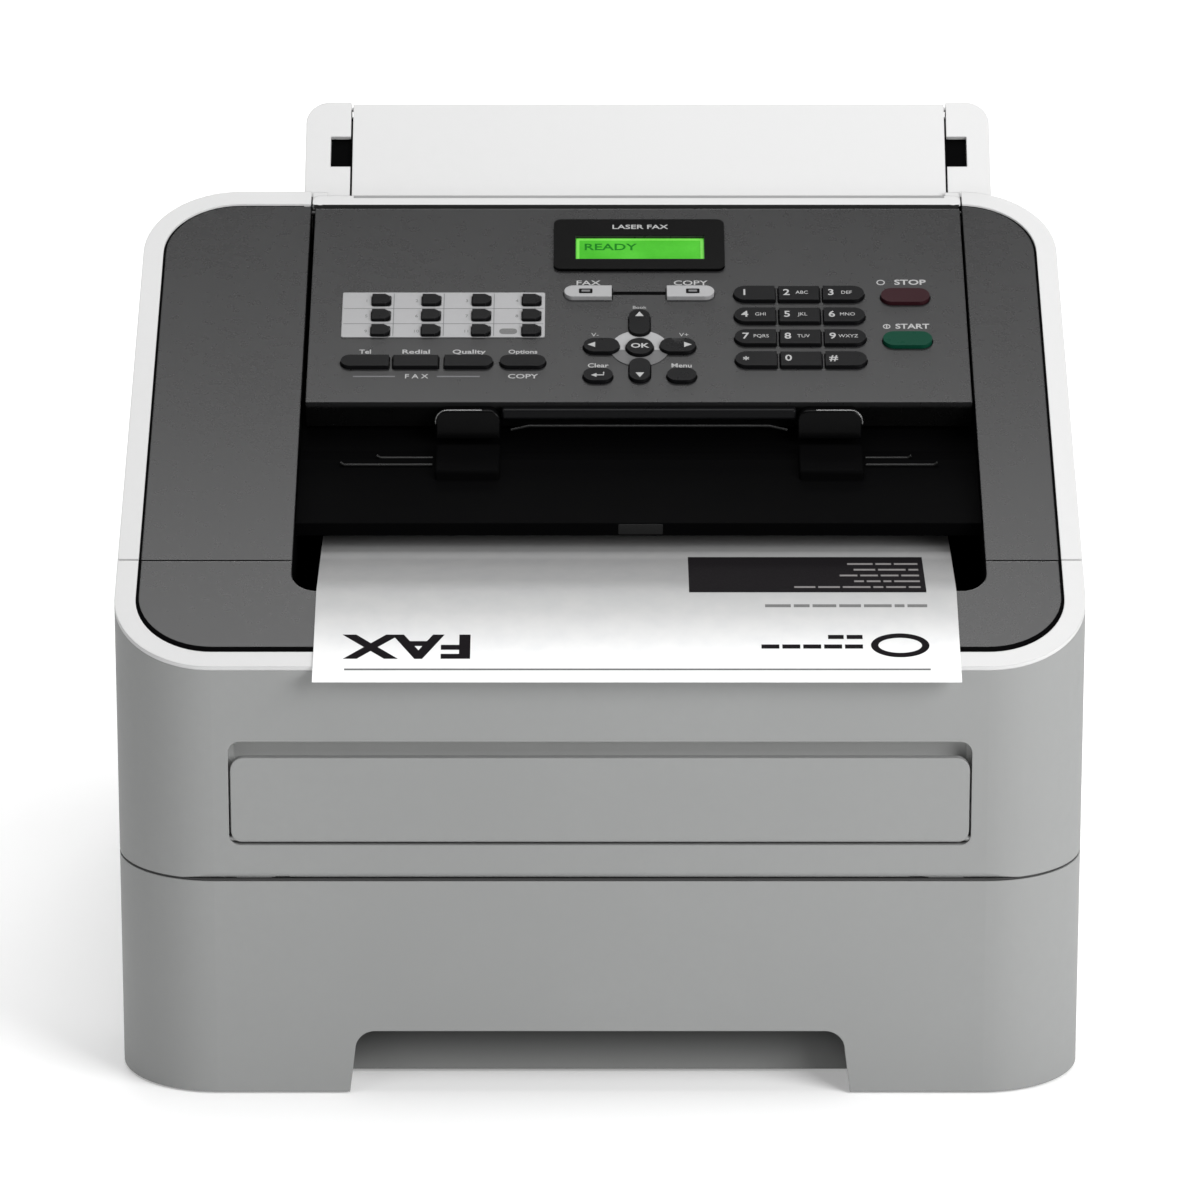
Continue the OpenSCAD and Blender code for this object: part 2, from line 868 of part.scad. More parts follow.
module control_panel() {
    x0 = bay_x0 + 2;
    x1 = bay_x1 - 1.2;
    color([0.27, 0.27, 0.28])
        difference() {
            on_slope()
                difference() {
                    union() {
                        along_x(x0, x1)
                            lid_profile();
                        linear_extrude(1)
                            rounded(bezel_x0, bezel_x1, bezel_s0, bezel_s1, 3, 3);
                        for (x = [bay_x0 - 2.3, x1 - 6])
                            rod(x, x + bay_x1 + 2.3 - x1 + 6, panel_s1 - lid_hinge_r, -lid_hinge_r, 1);
                    }
                    // hollow of the lid
                    block(
                        [x0 + wall, panel_s0 + wall, wall - panel_t],
                        [x1 - wall, panel_s1 - 8, -wall]
                    );
                    // openings for the keys and the display
                    translate([0, 0, -wall - 1])
                        linear_extrude(wall + 3) {
                            key_openings();
                            translate([lcd_x0, lcd_s0])
                                square([lcd_x1 - lcd_x0, lcd_s1 - lcd_s0]);
                        }
                }
            // upright rear face, flush with the hinge rounding
            block([x0 - 1, lid_hinge_y + lid_hinge_r, 200], [x1 + 1, 120, 320]);
        }
}
// Section of the lid across the slope: rounded over at its rear edge
module lid_profile() {
    r = lid_hinge_r;
    translate([panel_s0, -panel_t])
        square([panel_s1 - panel_s0, panel_t - r]);
    translate([panel_s0, -r - eps])
        square([panel_s1 - panel_s0 - r, r + eps]);
    translate([panel_s1 - r, -r])
        circle(r = r);
}
module key_openings() {
    g = key_gap;
    for (col = [0:2], row = [0:3])
        dial_outline(col, row, g);
    for (i = [0:3])
        function_outline(i, g);
    action_outline(stop_s, g);
    action_outline(start_s, g);
    mode_outline(0, g);
    mode_outline(1, g);
    up_outline(g);
    down_outline(g);
    side_outline(-1, g);
    side_outline(1, g);
    ok_outline(g);
    small_outline(nav_x - 16.5, g);
    small_outline(nav_x + 16.5, g);
    for (col = [0:3], row = [0:2])
        touch_outline(col, row, g);
}

module lcd_screen() {
    color([0.3, 0.75, 0.2])
        on_slope()
            block([lcd_x0, lcd_s0, -2.2], [lcd_x1, lcd_s1, -0.2]);
}

module key_1() {
    dark_key()
        dial_outline(0, 0);
}
module key_2() {
    dark_key()
        dial_outline(1, 0);
}
module key_3() {
    dark_key()
        dial_outline(2, 0);
}
module key_4() {
    dark_key()
        dial_outline(0, 1);
}
module key_5() {
    dark_key()
        dial_outline(1, 1);
}
module key_6() {
    dark_key()
        dial_outline(2, 1);
}
module key_7() {
    dark_key()
        dial_outline(0, 2);
}
module key_8() {
    dark_key()
        dial_outline(1, 2);
}
module key_9() {
    dark_key()
        dial_outline(2, 2);
}
module key_star() {
    dark_key()
        dial_outline(0, 3);
}
module key_0() {
    dark_key()
        dial_outline(1, 3);
}
module key_hash() {
    dark_key()
        dial_outline(2, 3);
}
module stop_key() {
    color([0.35, 0.15, 0.17])
        key_solid()
            action_outline(stop_s);
}
module start_key() {
    color([0.1, 0.4, 0.28])
        key_solid()
            action_outline(start_s);
}
module up_key() {
    dark_key()
        up_outline();
}
module down_key() {
    dark_key()
        down_outline();
}
module left_key() {
    dark_key()
        side_outline(-1);
}
module right_key() {
    dark_key()
        side_outline(1);
}
module ok_key() {
    dark_key()
        ok_outline();
}
module clear_key() {
    dark_key()
        small_outline(nav_x - 16.5);
}
module menu_key() {
    dark_key()
        small_outline(nav_x + 16.5);
}
module fax_key() {
    color([0.75, 0.75, 0.76])
        key_solid()
            mode_outline(0);
}
module copy_key() {
    color([0.75, 0.75, 0.76])
        key_solid()
            mode_outline(1);
}
module function_key_1() {
    dark_key()
        function_outline(0);
}
module function_key_2() {
    dark_key()
        function_outline(1);
}
module function_key_3() {
    dark_key()
        function_outline(2);
}
module function_key_4() {
    dark_key()
        function_outline(3);
}
module one_touch_keys() {
    color([0.12, 0.12, 0.12])
        for (col = [0:3], row = [0:2])
            key_solid()
                touch_outline(col, row);
    // the keypad mat that joins them under the panel
    color([0.2, 0.2, 0.2])
        on_slope()
            block(
                [touch_x - 8, touch_s - 2 * touch_ds - 6, -6.3],
                [touch_x + 3 * touch_dx + 8, touch_s + 6, -5.4]
            );
}

// ---- Document tray at the back ----

// Frame of the document tray's plate: x, distance up the plate, height above it
module on_tray() {
    translate([0, 100.4, 279])
        rotate([doc_lean, 0, 0])
            children();
}
module document_tray() {
    color([0.93, 0.93, 0.93]) {
        // strip behind the lid; the document slot is under its rear edge
        intersection() {
            linear_extrude(300)
                rounded(bay_x0 + 0.6, bay_x1 - 0.6, lid_hinge_y + 2.4, 97.4, 1, 3);
            slope_layer(3, 0, 60, 120);
        }
        // end blocks that carry the strip
        intersection() {
            for (x = [bay_x0 + 0.6, bay_x1 - 6.6])
                block([x, lid_hinge_y + 2.6, 266], [x + 6, 101, 300]);
            under_slope(1);
        }
        // ramp that guides a document under the strip
        along_x(bay_x0 + 0.6, bay_x1 - 0.6)
            polygon([[95.1, 259], [95.1, 265.4], [97.5, 268], [101, 279], [103, 279], [103, 259]]);
        // foot that closes the cut in the rear wall
        along_x(bay_x0 - 3, bay_x1 + 12.3)
            polygon([[97.5, 259], [97.5, 268], [101, 279], [103, 279], [103, 259]]);
        on_tray()
            doc_plate();
    }
}
module doc_plate() {
    difference() {
        translate([0, 0, -3.2])
            linear_extrude(3.2)
                rounded(doc_x0, doc_x1, -2, doc_l, 1, 10);
        for (cut = [[flap_l - 0.4, -1.7], [doc_l - 6, -5]])
            translate([flap_x0 - flap_gap, cut[0], cut[1]])
                cube([flap_x1 - flap_x0 + 2 * flap_gap, doc_l, 10]);
        // the ears' windows
        for (x = [flap_x0 - window_w - flap_gap + eps, flap_x1 + flap_gap - eps])
            translate([x, 15.8, -5])
                cube([window_w, 14.5, 10]);
        // bores for the flap's pins
        rod(flap_x0 - 5, flap_x1 + 5, flap_pin_l, -1.5, 1.05);
    }
}
module document_flap() {
    color([0.96, 0.96, 0.96])
        on_tray() {
            block([flap_x0, flap_l, -1.4], [flap_x1, doc_l - 1, 0]);
            rod(flap_x0, flap_x1, flap_pin_l, -1.5, 1.5);
            rod(flap_x0 - 3.5, flap_x1 + 3.5, flap_pin_l, -1.5, 0.97);
        }
}

// ---- Rear ----

// Bulged rear cover, opened to reach a sheet in the fuser
module back_cover() {
    color([0.9, 0.9, 0.9]) {
        difference() {
            along_x(-126.9, 126.9)
                polygon([
                    [177.5, 98], [180, 98], [180.6, 101.2], [184, 103.2], [189, 114],
                    [189, 176], [184, 188], [180, 192], [177.5, 192]
                ]);
            along_x(-126.9 + wall, 126.9 - wall)
                polygon([[176, 103], [182, 105.5], [186.5, 115], [186.5, 175], [181, 188], [176, 188]]);
        }
        for (side = [-1, 1])
            rod(side > 0 ? 120 : -129, side > 0 ? 129 : -120, back_hinge[0], back_hinge[1], 0.9);
    }
}

// Socket block: floor, roof, back, dividers and sills, set together with hair gaps
module line_and_power_sockets() {
    x0 = 62.3;
    x1 = 141.7;
    y0 = 160;
    back = 165;
    y1 = 179.2;
    z0 = 27.5;
    z1 = 47.5;
    fit = 0.02;
    color([0.12, 0.12, 0.13]) {
        block([x0, y0, 24.3], [x1, y1, z0 - fit]);
        block([x0, y0, z1 + fit], [x1, y1, 51.7]);
        block([x0, y0, z0], [x1, back, z1]);
        // dividers beside the appliance inlet and the two telephone sockets
        for (d = [[x0, 66], [93.5, 102], [113, 122], [133, x1]])
            block([d[0], back + fit, z0], [d[1], y1, z1]);
        // sills below and above the telephone sockets
        for (x = [102, 122], z = [[z0, 31], [42, z1]])
            block([x + fit, back + fit, z[0]], [x + 11 - fit, y1, z[1]]);
        // foot on the base plate
        block([80, 162, base_z + 2.5], [124, 172, 24.3 - fit]);
    }
    // contacts of the appliance inlet
    color("silver")
        for (x = [73.75, 79.75, 85.75])
            block([x - 1, back + fit, x == 79.75 ? 39 : 33], [x + 1, 173, x == 79.75 ? 43 : 37]);
}

module power_switch() {
    color([0.1, 0.1, 0.1]) {
        along_y(130.5, 143.5)
            polygon([[178.5, 42], [183.6, 41], [183.4, 51], [182.2, 61], [178.5, 60]]);
        translate([180, 129, 51])
            rotate([-90, 0, 0])
                cylinder(h = 16, r = 1.5);
    }
}
// An outline drawn in (x, z), extruded along y
module along_y(y0, y1) {
    translate([0, y1, 0])
        rotate([90, 0, 0])
            linear_extrude(y1 - y0)
                children();
}

// ---- Inside ----

module pickup_roller() {
    color([0.2, 0.2, 0.2]) {
        rod(-22, 22, pickup[0], pickup[1], pickup[2]);
        rod(-chassis_x - 2.9, chassis_x + 2.9, pickup[0], pickup[1], 4);
    }
}

module toner_unit() {
    color([0.08, 0.08, 0.09]) {
        along_x(-128, 128)
            polygon([
                [-104, 98], [-96, deck_z + deck_t], [10, deck_z + deck_t], [20, 98], [20, 126],
                [4, 134],
                [-70, 134], [-104, 118]
            ]);
        // handle
        for (x = [-30, 26])
            block([x, -116, 106], [x + 4, -103, 112]);
        block([-30, -118, 106], [30, -114, 112]);
    }
}

module photo_drum() {
    color([0.2, 0.45, 0.6]) {
        rod(-120, 120, drum[0], drum[1], drum[2]);
        rod(-chassis_x - 2.9, chassis_x + 2.9, drum[0], drum[1], 4);
    }
}

module fuser_roller() {
    color([0.55, 0.3, 0.2]) {
        rod(-116, 116, fuser[0], fuser[1], fuser[2]);
        rod(-chassis_x - 2.9, chassis_x + 2.9, fuser[0], fuser[1], 4);
    }
}

module exit_rollers() {
    color([0.2, 0.2, 0.2]) {
        rod(bay_x0 - wall, bay_x1 + wall, exit_roller[0], exit_roller[1], 2.5);
        for (x = [-80, -30, 50, 100])
            rod(x, x + 14, exit_roller[0], exit_roller[1], exit_roller[2]);
    }
}

module feed_roller() {
    color([0.25, 0.25, 0.25]) {
        rod(bay_x0 - wall, bay_x1 + wall, feeder[0], feeder[1], 2.5);
        rod(-14, 44, feeder[0], feeder[1], feeder[2]);
    }
}

module laser_unit() {
    color([0.16, 0.16, 0.17]) {
        block([-110, -40, 138], [110, 70, 158]);
        block([-chassis_x, 0, 144], [chassis_x, 12, 148]);
    }
}

module main_board() {
    color([0.1, 0.35, 0.2]) {
        block([-171.6, -60, 46], [-170, 125, 136]);
        for (y = [-60, 20, 113])
            block([-170, y, 60], [-168, y + 6, 66]);
    }
    color([0.1, 0.1, 0.1])
        for (y = [-40, 0, 60])
            block([-174, y, 70], [-171.6, y + 26, 96]);
}

// ---- Printed sheet ----

// The sheet lies on the front slope and then runs level back to the exit rollers
module printed_page() {
    crest_y = bay_y0 - 1;
    crest_z = top_z(crest_y) + page_lift;
    lip_l = (crest_y - page_front_y) / cos(slope);
    end_y = crest_y + page_l - lip_l;
    color("white")
        along_x(page_x0, page_x1)
            polygon([
                [page_front_y, top_z(page_front_y) + page_lift], [crest_y, crest_z], [end_y, crest_z],
                [end_y, crest_z + page_t], [crest_y, crest_z + page_t],
                [page_front_y, top_z(page_front_y) + page_lift + page_t]
            ]);
}

base_frame();
left_side_cover();
right_side_cover();
upper_housing();
top_inlays();
output_bay();
exit_hood();
rubber_feet();
paper_tray();
lift_plate();
paper_guide_left();
paper_guide_right();
front_cover();
front_rim();
front_inlay();
manual_feed_door();
control_panel();
lcd_screen();
document_tray();
document_flap();
back_cover();
pickup_roller();
toner_unit();
photo_drum();
fuser_roller();
exit_rollers();
laser_unit();
main_board();
feed_roller();
line_and_power_sockets();
power_switch();
printed_page();
key_1();
key_2();
key_3();
key_4();
key_5();
key_6();
key_7();
key_8();
key_9();
key_star();
key_0();
key_hash();
stop_key();
start_key();
up_key();
down_key();
left_key();
right_key();
ok_key();
clear_key();
menu_key();
fax_key();
copy_key();
function_key_1();
function_key_2();
function_key_3();
function_key_4();
one_touch_keys();
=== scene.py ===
"""Looks of a desktop laser fax machine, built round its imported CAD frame.

Everything is in metres in the CAD's own frame. Pieces on the sloped top are drawn flat, as (x, distance up
the slope, height above it), and then carried onto the slope; pieces on the document tray work the same way.
"""

import math

import bmesh
import bpy
from mathutils import Matrix, Vector


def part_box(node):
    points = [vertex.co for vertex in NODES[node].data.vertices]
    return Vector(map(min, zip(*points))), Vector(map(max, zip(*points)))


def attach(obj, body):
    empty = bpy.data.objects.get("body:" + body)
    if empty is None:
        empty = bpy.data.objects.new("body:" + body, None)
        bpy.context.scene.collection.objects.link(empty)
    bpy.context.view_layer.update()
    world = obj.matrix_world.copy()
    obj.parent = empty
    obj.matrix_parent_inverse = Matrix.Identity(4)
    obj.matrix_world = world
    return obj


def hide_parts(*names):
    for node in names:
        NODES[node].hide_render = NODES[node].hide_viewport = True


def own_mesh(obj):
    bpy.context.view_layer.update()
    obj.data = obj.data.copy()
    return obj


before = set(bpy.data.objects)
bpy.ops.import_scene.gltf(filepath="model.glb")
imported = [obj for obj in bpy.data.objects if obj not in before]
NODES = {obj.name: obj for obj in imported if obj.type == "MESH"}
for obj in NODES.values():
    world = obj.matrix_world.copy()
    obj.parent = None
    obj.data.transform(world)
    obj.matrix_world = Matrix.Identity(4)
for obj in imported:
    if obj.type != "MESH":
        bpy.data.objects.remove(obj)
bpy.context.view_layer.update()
MM = 0.001

# ---- Driving dimensions that part.scad also has ----
SLOPE = math.radians(21.5)
TRAY_LEAN = math.radians(43)
TRAY_FOOT_Y, TRAY_FOOT_Z = 100.4 * MM, 279 * MM
RIM_W = 8 * MM
SEAM_Y = -121 * MM
FRONT_R = 38 * MM
RAISED_Y = 100 * MM
BAY_WALL = 2.5 * MM
PAGE_T = 0.3 * MM

# ---- Settings of the pieces ----
# Thickness of printing, and of printing on the sheet
SKIN, INK_T = 0.05 * MM, 0.03 * MM
# Gap between a key and a plate round it
GROW = 0.4 * MM
# Steeper edges than this are shown sharp, and rounded where a piece has a bevel
SHARP_ANGLE, BEVEL_ANGLE = math.radians(35), math.radians(40)

rim_lo, rim_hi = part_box("front_rim")
housing_lo, housing_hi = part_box("upper_housing")
bay_lo, bay_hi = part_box("output_bay")
hood_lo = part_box("exit_hood")[0]
tray_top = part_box("paper_tray")[1].z
BAY_X0, BAY_X1 = bay_lo.x + BAY_WALL, bay_hi.x - BAY_WALL
rim_top = Vector((0, rim_lo.y + RIM_W, rim_hi.z - (rim_hi.y - rim_lo.y - RIM_W) * math.tan(SLOPE)))
SLOPE_FRAME = Matrix.Translation(rim_top) @ Matrix.Rotation(SLOPE, 4, "X")
TRAY_FRAME = Matrix.Translation((0, TRAY_FOOT_Y, TRAY_FOOT_Z)) @ Matrix.Rotation(TRAY_LEAN, 4, "X")


def top_z(y):
    """Height of the sloped top above a point on the desk."""
    return rim_top.z + (y - rim_top.y) * math.tan(SLOPE)


def up_slope(y):
    """Distance up the slope to a line across the top, from its y."""
    return (y - rim_top.y) / math.cos(SLOPE)


class Extent:
    """Where a CAD node lies in a tilted frame: x0, x1, s0, s1, h0, h1 and its middle."""

    def __init__(self, node, tilted=SLOPE_FRAME):
        back = tilted.inverted()
        points = [back @ v.co for v in NODES[node].data.vertices]
        (self.x0, self.x1), (self.s0, self.s1), (self.h0, self.h1) = [
            (min(p[i] for p in points), max(p[i] for p in points)) for i in range(3)
        ]
        self.x, self.s = (self.x0 + self.x1) / 2, (self.s0 + self.s1) / 2


# ---- Outlines: lists of points, counterclockwise ----


def arc(x, y, radius, start, end, steps=8):
    angles = [math.radians(start + (end - start) * i / steps) for i in range(steps + 1)]
    return [(x + radius * math.cos(a), y + radius * math.sin(a)) for a in angles]


def rounded(x0, x1, y0, y1, radius=0.0, top_radius=None):
    """A rectangle with one radius at its two lower corners and another at the upper ones."""
    low, high = radius, radius if top_radius is None else top_radius
    corners = [(x0, y0, low, 180), (x1, y0, low, 270), (x1, y1, high, 0), (x0, y1, high, 90)]
    points = []
    for x, y, r, start in corners:
        if r <= 0:
            points.append((x, y))
            continue
        cx = x + r if x == x0 else x - r
        cy = y + r if y == y0 else y - r
        points += arc(cx, cy, r, start, start + 90)
    return points


def centred(x, y, wide, tall, radius=0.0):
    """A rectangle round its middle."""
    return rounded(x - wide / 2, x + wide / 2, y - tall / 2, y + tall / 2, radius)


def grown(extent, margin, radius=0.0):
    """The plan of a CAD node, grown by a margin all round."""
    return rounded(extent.x0 - margin, extent.x1 + margin, extent.s0 - margin, extent.s1 + margin, radius)


def disc(x, y, radius, steps=48):
    return arc(x, y, radius, 0, 360, steps)[:-1]


def oval(x, y, radius_x, radius_y):
    return [(x + radius_x * px, y + radius_y * py) for px, py in disc(0, 0, 1)]


# ---- Meshes ----


def to_mesh(bm):
    mesh = bpy.data.meshes.new("part")
    bmesh.ops.recalc_face_normals(bm, faces=bm.faces)
    bm.to_mesh(mesh)
    bm.free()
    return mesh


def slab(outline, low, high):
    """A flat piece over an outline, between two heights."""
    bm = bmesh.new()
    below = [bm.verts.new((x, y, low)) for x, y in outline]
    above = [bm.verts.new((x, y, high)) for x, y in outline]
    bm.faces.new(below[::-1])
    bm.faces.new(above)
    for i in range(len(outline)):
        bm.faces.new((below[i - 1], below[i], above[i], above[i - 1]))
    return to_mesh(bm)


def film(outline, height=0.0):
    """Printing on a flat face."""
    return slab(outline, height, height + SKIN)


def through(outline):
    """A cutter that reaches through everything that lies on a face."""
    return slab(outline, -3 * MM, 4 * MM)


def along_x(profile, x0, x1):
    """A (y, z) profile drawn along x."""
    mesh = slab(profile, x0, x1)
    mesh.transform(Matrix(((0, 0, 1, 0), (1, 0, 0, 0), (0, 1, 0, 0), (0, 0, 0, 1))))
    return mesh


def upright(outline, y0, y1):
    """A slab standing upright: an (x, z) outline between two y."""
    mesh = slab(outline, -y1, -y0)
    mesh.transform(Matrix.Rotation(math.radians(90), 4, "X"))
    return mesh


def loft(bm, rings):
    """A skin over rings of vertices, closed at both ends."""
    for a, b in zip(rings, rings[1:]):
        for k in range(len(a)):
            bm.faces.new((a[k - 1], a[k], b[k], b[k - 1]))
    bm.faces.new(rings[0][::-1])
    bm.faces.new(rings[-1])
    return to_mesh(bm)


def tube(points, radius, sides=12):
    """A round bar along a line of points."""
    bm = bmesh.new()
    points = [Vector(p) for p in points]
    rings = []
    for i, p in enumerate(points):
        ahead = points[min(i + 1, len(points) - 1)] - points[max(i - 1, 0)]
        turn = ahead.to_track_quat("Z", "Y")
        rings.append([bm.verts.new(p + turn @ Vector((x, y, 0))) for x, y in disc(0, 0, radius, sides)])
    return loft(bm, rings)


def evaluated(obj):
    """The mesh of an object with its modifiers or text applied; the object goes."""
    bpy.context.scene.collection.objects.link(obj)
    bpy.context.view_layer.update()
    graph = bpy.context.evaluated_depsgraph_get()
    mesh = bpy.data.meshes.new_from_object(obj.evaluated_get(graph))
    bpy.data.objects.remove(obj)
    return mesh


def cut(mesh, cutters):
    """The mesh with other meshes taken out of it."""
    tool = bpy.data.objects.new("cutter", joined(cutters))
    bpy.context.scene.collection.objects.link(tool)
    obj = bpy.data.objects.new("cut", mesh)
    boolean = obj.modifiers.new("cut", "BOOLEAN")
    boolean.object, boolean.operation, boolean.solver = tool, "DIFFERENCE", "EXACT"
    result = evaluated(obj)
    bpy.data.objects.remove(tool)
    return result


def joined(meshes):
    bm = bmesh.new()
    for mesh in meshes:
        bm.from_mesh(mesh)
    mesh = bpy.data.meshes.new("joined")
    bm.to_mesh(mesh)
    bm.free()
    return mesh


def words(text, x, s, size, height, align="CENTER", wide=1.0, bold=0.0, turned=False, thick=0.06 * MM):
    """Raised lettering, lying flat and standing from a height."""
    curve = bpy.data.curves.new("words", "FONT")
    curve.body, curve.size, curve.extrude = text, size, thick / 2
    curve.align_x, curve.align_y, curve.offset, curve.resolution_u = align, "CENTER", bold, 3
    mesh = evaluated(bpy.data.objects.new("words", curve))
    mesh.materials.clear()
    place = Matrix.Translation((x, s, height)) @ Matrix.Rotation(math.pi if turned else 0, 4, "Z")
    mesh.transform(place @ Matrix.Diagonal((wide, 1, 1, 1)))
    return mesh


def smoothed(mesh):
    """Shades a mesh smooth, apart from its sharp edges."""
    mesh.polygons.foreach_set("use_smooth", [True] * len(mesh.polygons))
    mesh.set_sharp_from_angle(angle=SHARP_ANGLE)


def piece(name, meshes, material, body, tilted=None, bevel=0.0):
    """One shown piece, riding on a CAD body, from flat-drawn meshes."""
    mesh = joined(meshes)
    mesh.name = name
    if tilted is not None:
        mesh.transform(tilted)
    mesh.materials.append(material)
    smoothed(mesh)
    obj = bpy.data.objects.new(name, mesh)
    bpy.context.scene.collection.objects.link(obj)
    if bevel:
        soften(obj, bevel)
    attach(obj, body)
    return obj


def on_panel(name, meshes, look):
    return piece(name, meshes, look, "control_panel", SLOPE_FRAME)


def on_key(name, suffix, meshes, look):
    return piece(name + suffix, meshes, look, name, SLOPE_FRAME)


def soften(obj, width):
    """Rounds the hard edges of a piece."""
    weld = obj.modifiers.new("weld", "WELD")
    weld.merge_threshold = 0.01 * MM
    edge = obj.modifiers.new("soften", "BEVEL")
    edge.width, edge.segments, edge.limit_method = width, 3, "ANGLE"
    edge.angle_limit, edge.harden_normals = BEVEL_ANGLE, False


# ---- Materials ----


def shader(name):
    material = bpy.data.materials.new(name)
    material.use_nodes = True
    tree = material.node_tree
    return material, tree, tree.nodes["Principled BSDF"]


def node(tree, kind, inputs=None, **settings):
    """A shader node; an input that is a socket is linked, and any other is set."""
    made = tree.nodes.new(kind)
    for key, value in settings.items():
        setattr(made, key, value)
    for key, value in (inputs or {}).items():
        if isinstance(value, bpy.types.NodeSocket):
            tree.links.new(value, made.inputs[key])
        else:
            made.inputs[key].default_value = value
    return made


def math_node(tree, operation, a, b=0.0, clamp=False):
    return node(tree, "ShaderNodeMath", {0: a, 1: b}, operation=operation, use_clamp=clamp).outputs[0]


def mix(tree, factor, a, b):
    made = node(tree, "ShaderNodeMix", {0: factor, 6: a, 7: b}, data_type="RGBA")
    return made.outputs[2]


def noise(tree, place, scale, detail=3.0, rough=0.55):
    inputs = {"Vector": place, "Scale": scale, "Detail": detail, "Roughness": rough}
    return node(tree, "ShaderNodeTexNoise", inputs).outputs["Fac"]


def ranged(tree, value, low, high, to_low, to_high):
    inputs = {0: value, 1: low, 2: high, 3: to_low, 4: to_high}
    return node(tree, "ShaderNodeMapRange", inputs).outputs[0]


def middle(tree, noisy, to_low, to_high):
    """The middle part of a noise, spread over a range."""
    return ranged(tree, noisy, 0.3, 0.7, to_low, to_high)


def shade(colour, factor):
    return tuple(min(1.0, c * factor) for c in colour) + (1.0,)


def moulded(name, colour, rough=0.45, spread=0.08, grain=0.35, grain_scale=1900, vary=0.05,
            wear=0.35, edge=0.6 * MM, specular=0.5, depth_shade=None):
    """Moulded plastic: spark-eroded grain, soft edges that wear lighter, slow changes of colour and gloss.
    The last argument paints shade into recesses: a darker colour, and the two depths in mm under the sloped
    top between which it takes over."""
    material, tree, bsdf = shader(name)
    place = node(tree, "ShaderNodeTexCoord").outputs["Object"]
    cloud = noise(tree, place, 9.0)
    fine = noise(tree, place, 240.0, 4.0)
    base = mix(tree, middle(tree, cloud, 0.0, 1.0), shade(colour, 1 - vary), shade(colour, 1 + vary))
    base = mix(tree, ranged(tree, fine, 0.35, 0.65, 0.0, 0.35), base, shade(colour, 1 - vary))
    soft = node(tree, "ShaderNodeBevel", {"Radius": edge}, samples=4).outputs["Normal"]
    facing = node(tree, "ShaderNodeNewGeometry").outputs["Normal"]
    meet = node(tree, "ShaderNodeVectorMath", {0: soft, 1: facing}, operation="DOT_PRODUCT").outputs["Value"]
    worn = math_node(tree, "MULTIPLY", ranged(tree, meet, 0.995, 0.8, 0.0, wear), cloud)
    base = mix(tree, worn, base, shade([0.6 * c + 0.25 for c in colour], 1.0))
    # Painted shade: the colour turns to the darker one deeper under the sloped top, as in recesses
    if depth_shade is not None:
        dark, start, end = depth_shade
        point = node(tree, "ShaderNodeSeparateXYZ", {0: place})
        rise = math_node(tree, "MULTIPLY", point.outputs["Y"], math.tan(SLOPE))
        depth = math_node(tree, "SUBTRACT", math_node(tree, "ADD", rise, top_z(0)), point.outputs["Z"])
        base = mix(tree, ranged(tree, depth, start * MM, end * MM, 0.0, 1.0), base, shade(dark, 1))
    tree.links.new(base, bsdf.inputs["Base Color"])
    gloss = math_node(tree, "ADD", middle(tree, cloud, rough - spread, rough + spread),
                      math_node(tree, "MULTIPLY", fine, 0.06))
    tree.links.new(gloss, bsdf.inputs["Roughness"])
    pits = noise(tree, place, grain_scale, 2.0, 0.6)
    inputs = {"Strength": grain, "Distance": 0.06 * MM, "Height": pits, "Normal": soft}
    bump = node(tree, "ShaderNodeBump", inputs)
    tree.links.new(bump.outputs["Normal"], bsdf.inputs["Normal"])
    bsdf.inputs["Specular IOR Level"].default_value = specular
    return material


def metal(name, colour, rough=0.32, stretch=(900, 25, 900)):
    """Plated or brushed metal, with fine lines along y."""
    material, tree, bsdf = shader(name)
    place = node(tree, "ShaderNodeTexCoord").outputs["Object"]
    drawn = node(tree, "ShaderNodeMapping", {"Vector": place, "Scale": stretch}).outputs["Vector"]
    lines = noise(tree, drawn, 1.0, 4.0)
    cloud = noise(tree, place, 22.0)
    base = mix(tree, middle(tree, cloud, 0.0, 1.0), shade(colour, 0.86), shade(colour, 1.05))
    tree.links.new(base, bsdf.inputs["Base Color"])
    tree.links.new(middle(tree, lines, rough - 0.08, rough + 0.14), bsdf.inputs["Roughness"])
    soft = node(tree, "ShaderNodeBevel", {"Radius": 0.3 * MM}, samples=4).outputs["Normal"]
    inputs = {"Strength": 0.25, "Distance": 0.03 * MM, "Height": lines, "Normal": soft}
    bump = node(tree, "ShaderNodeBump", inputs)
    tree.links.new(bump.outputs["Normal"], bsdf.inputs["Normal"])
    bsdf.inputs["Metallic"].default_value = 1.0
    return material


def printed(name, colour, rough=0.55):
    """Printing ink: slightly uneven, on a faint film edge."""
    material, tree, bsdf = shader(name)
    place = node(tree, "ShaderNodeTexCoord").outputs["Object"]
    uneven = noise(tree, place, 1400.0, 2.0)
    base = mix(tree, middle(tree, uneven, 0.0, 1.0), shade(colour, 0.9), shade(colour, 1.05))
    tree.links.new(base, bsdf.inputs["Base Color"])
    tree.links.new(middle(tree, uneven, rough - 0.07, rough + 0.07), bsdf.inputs["Roughness"])
    bump = node(tree, "ShaderNodeBump", {"Strength": 0.2, "Distance": 0.02 * MM, "Height": uneven})
    tree.links.new(bump.outputs["Normal"], bsdf.inputs["Normal"])
    bsdf.inputs["Specular IOR Level"].default_value = 0.03
    return material


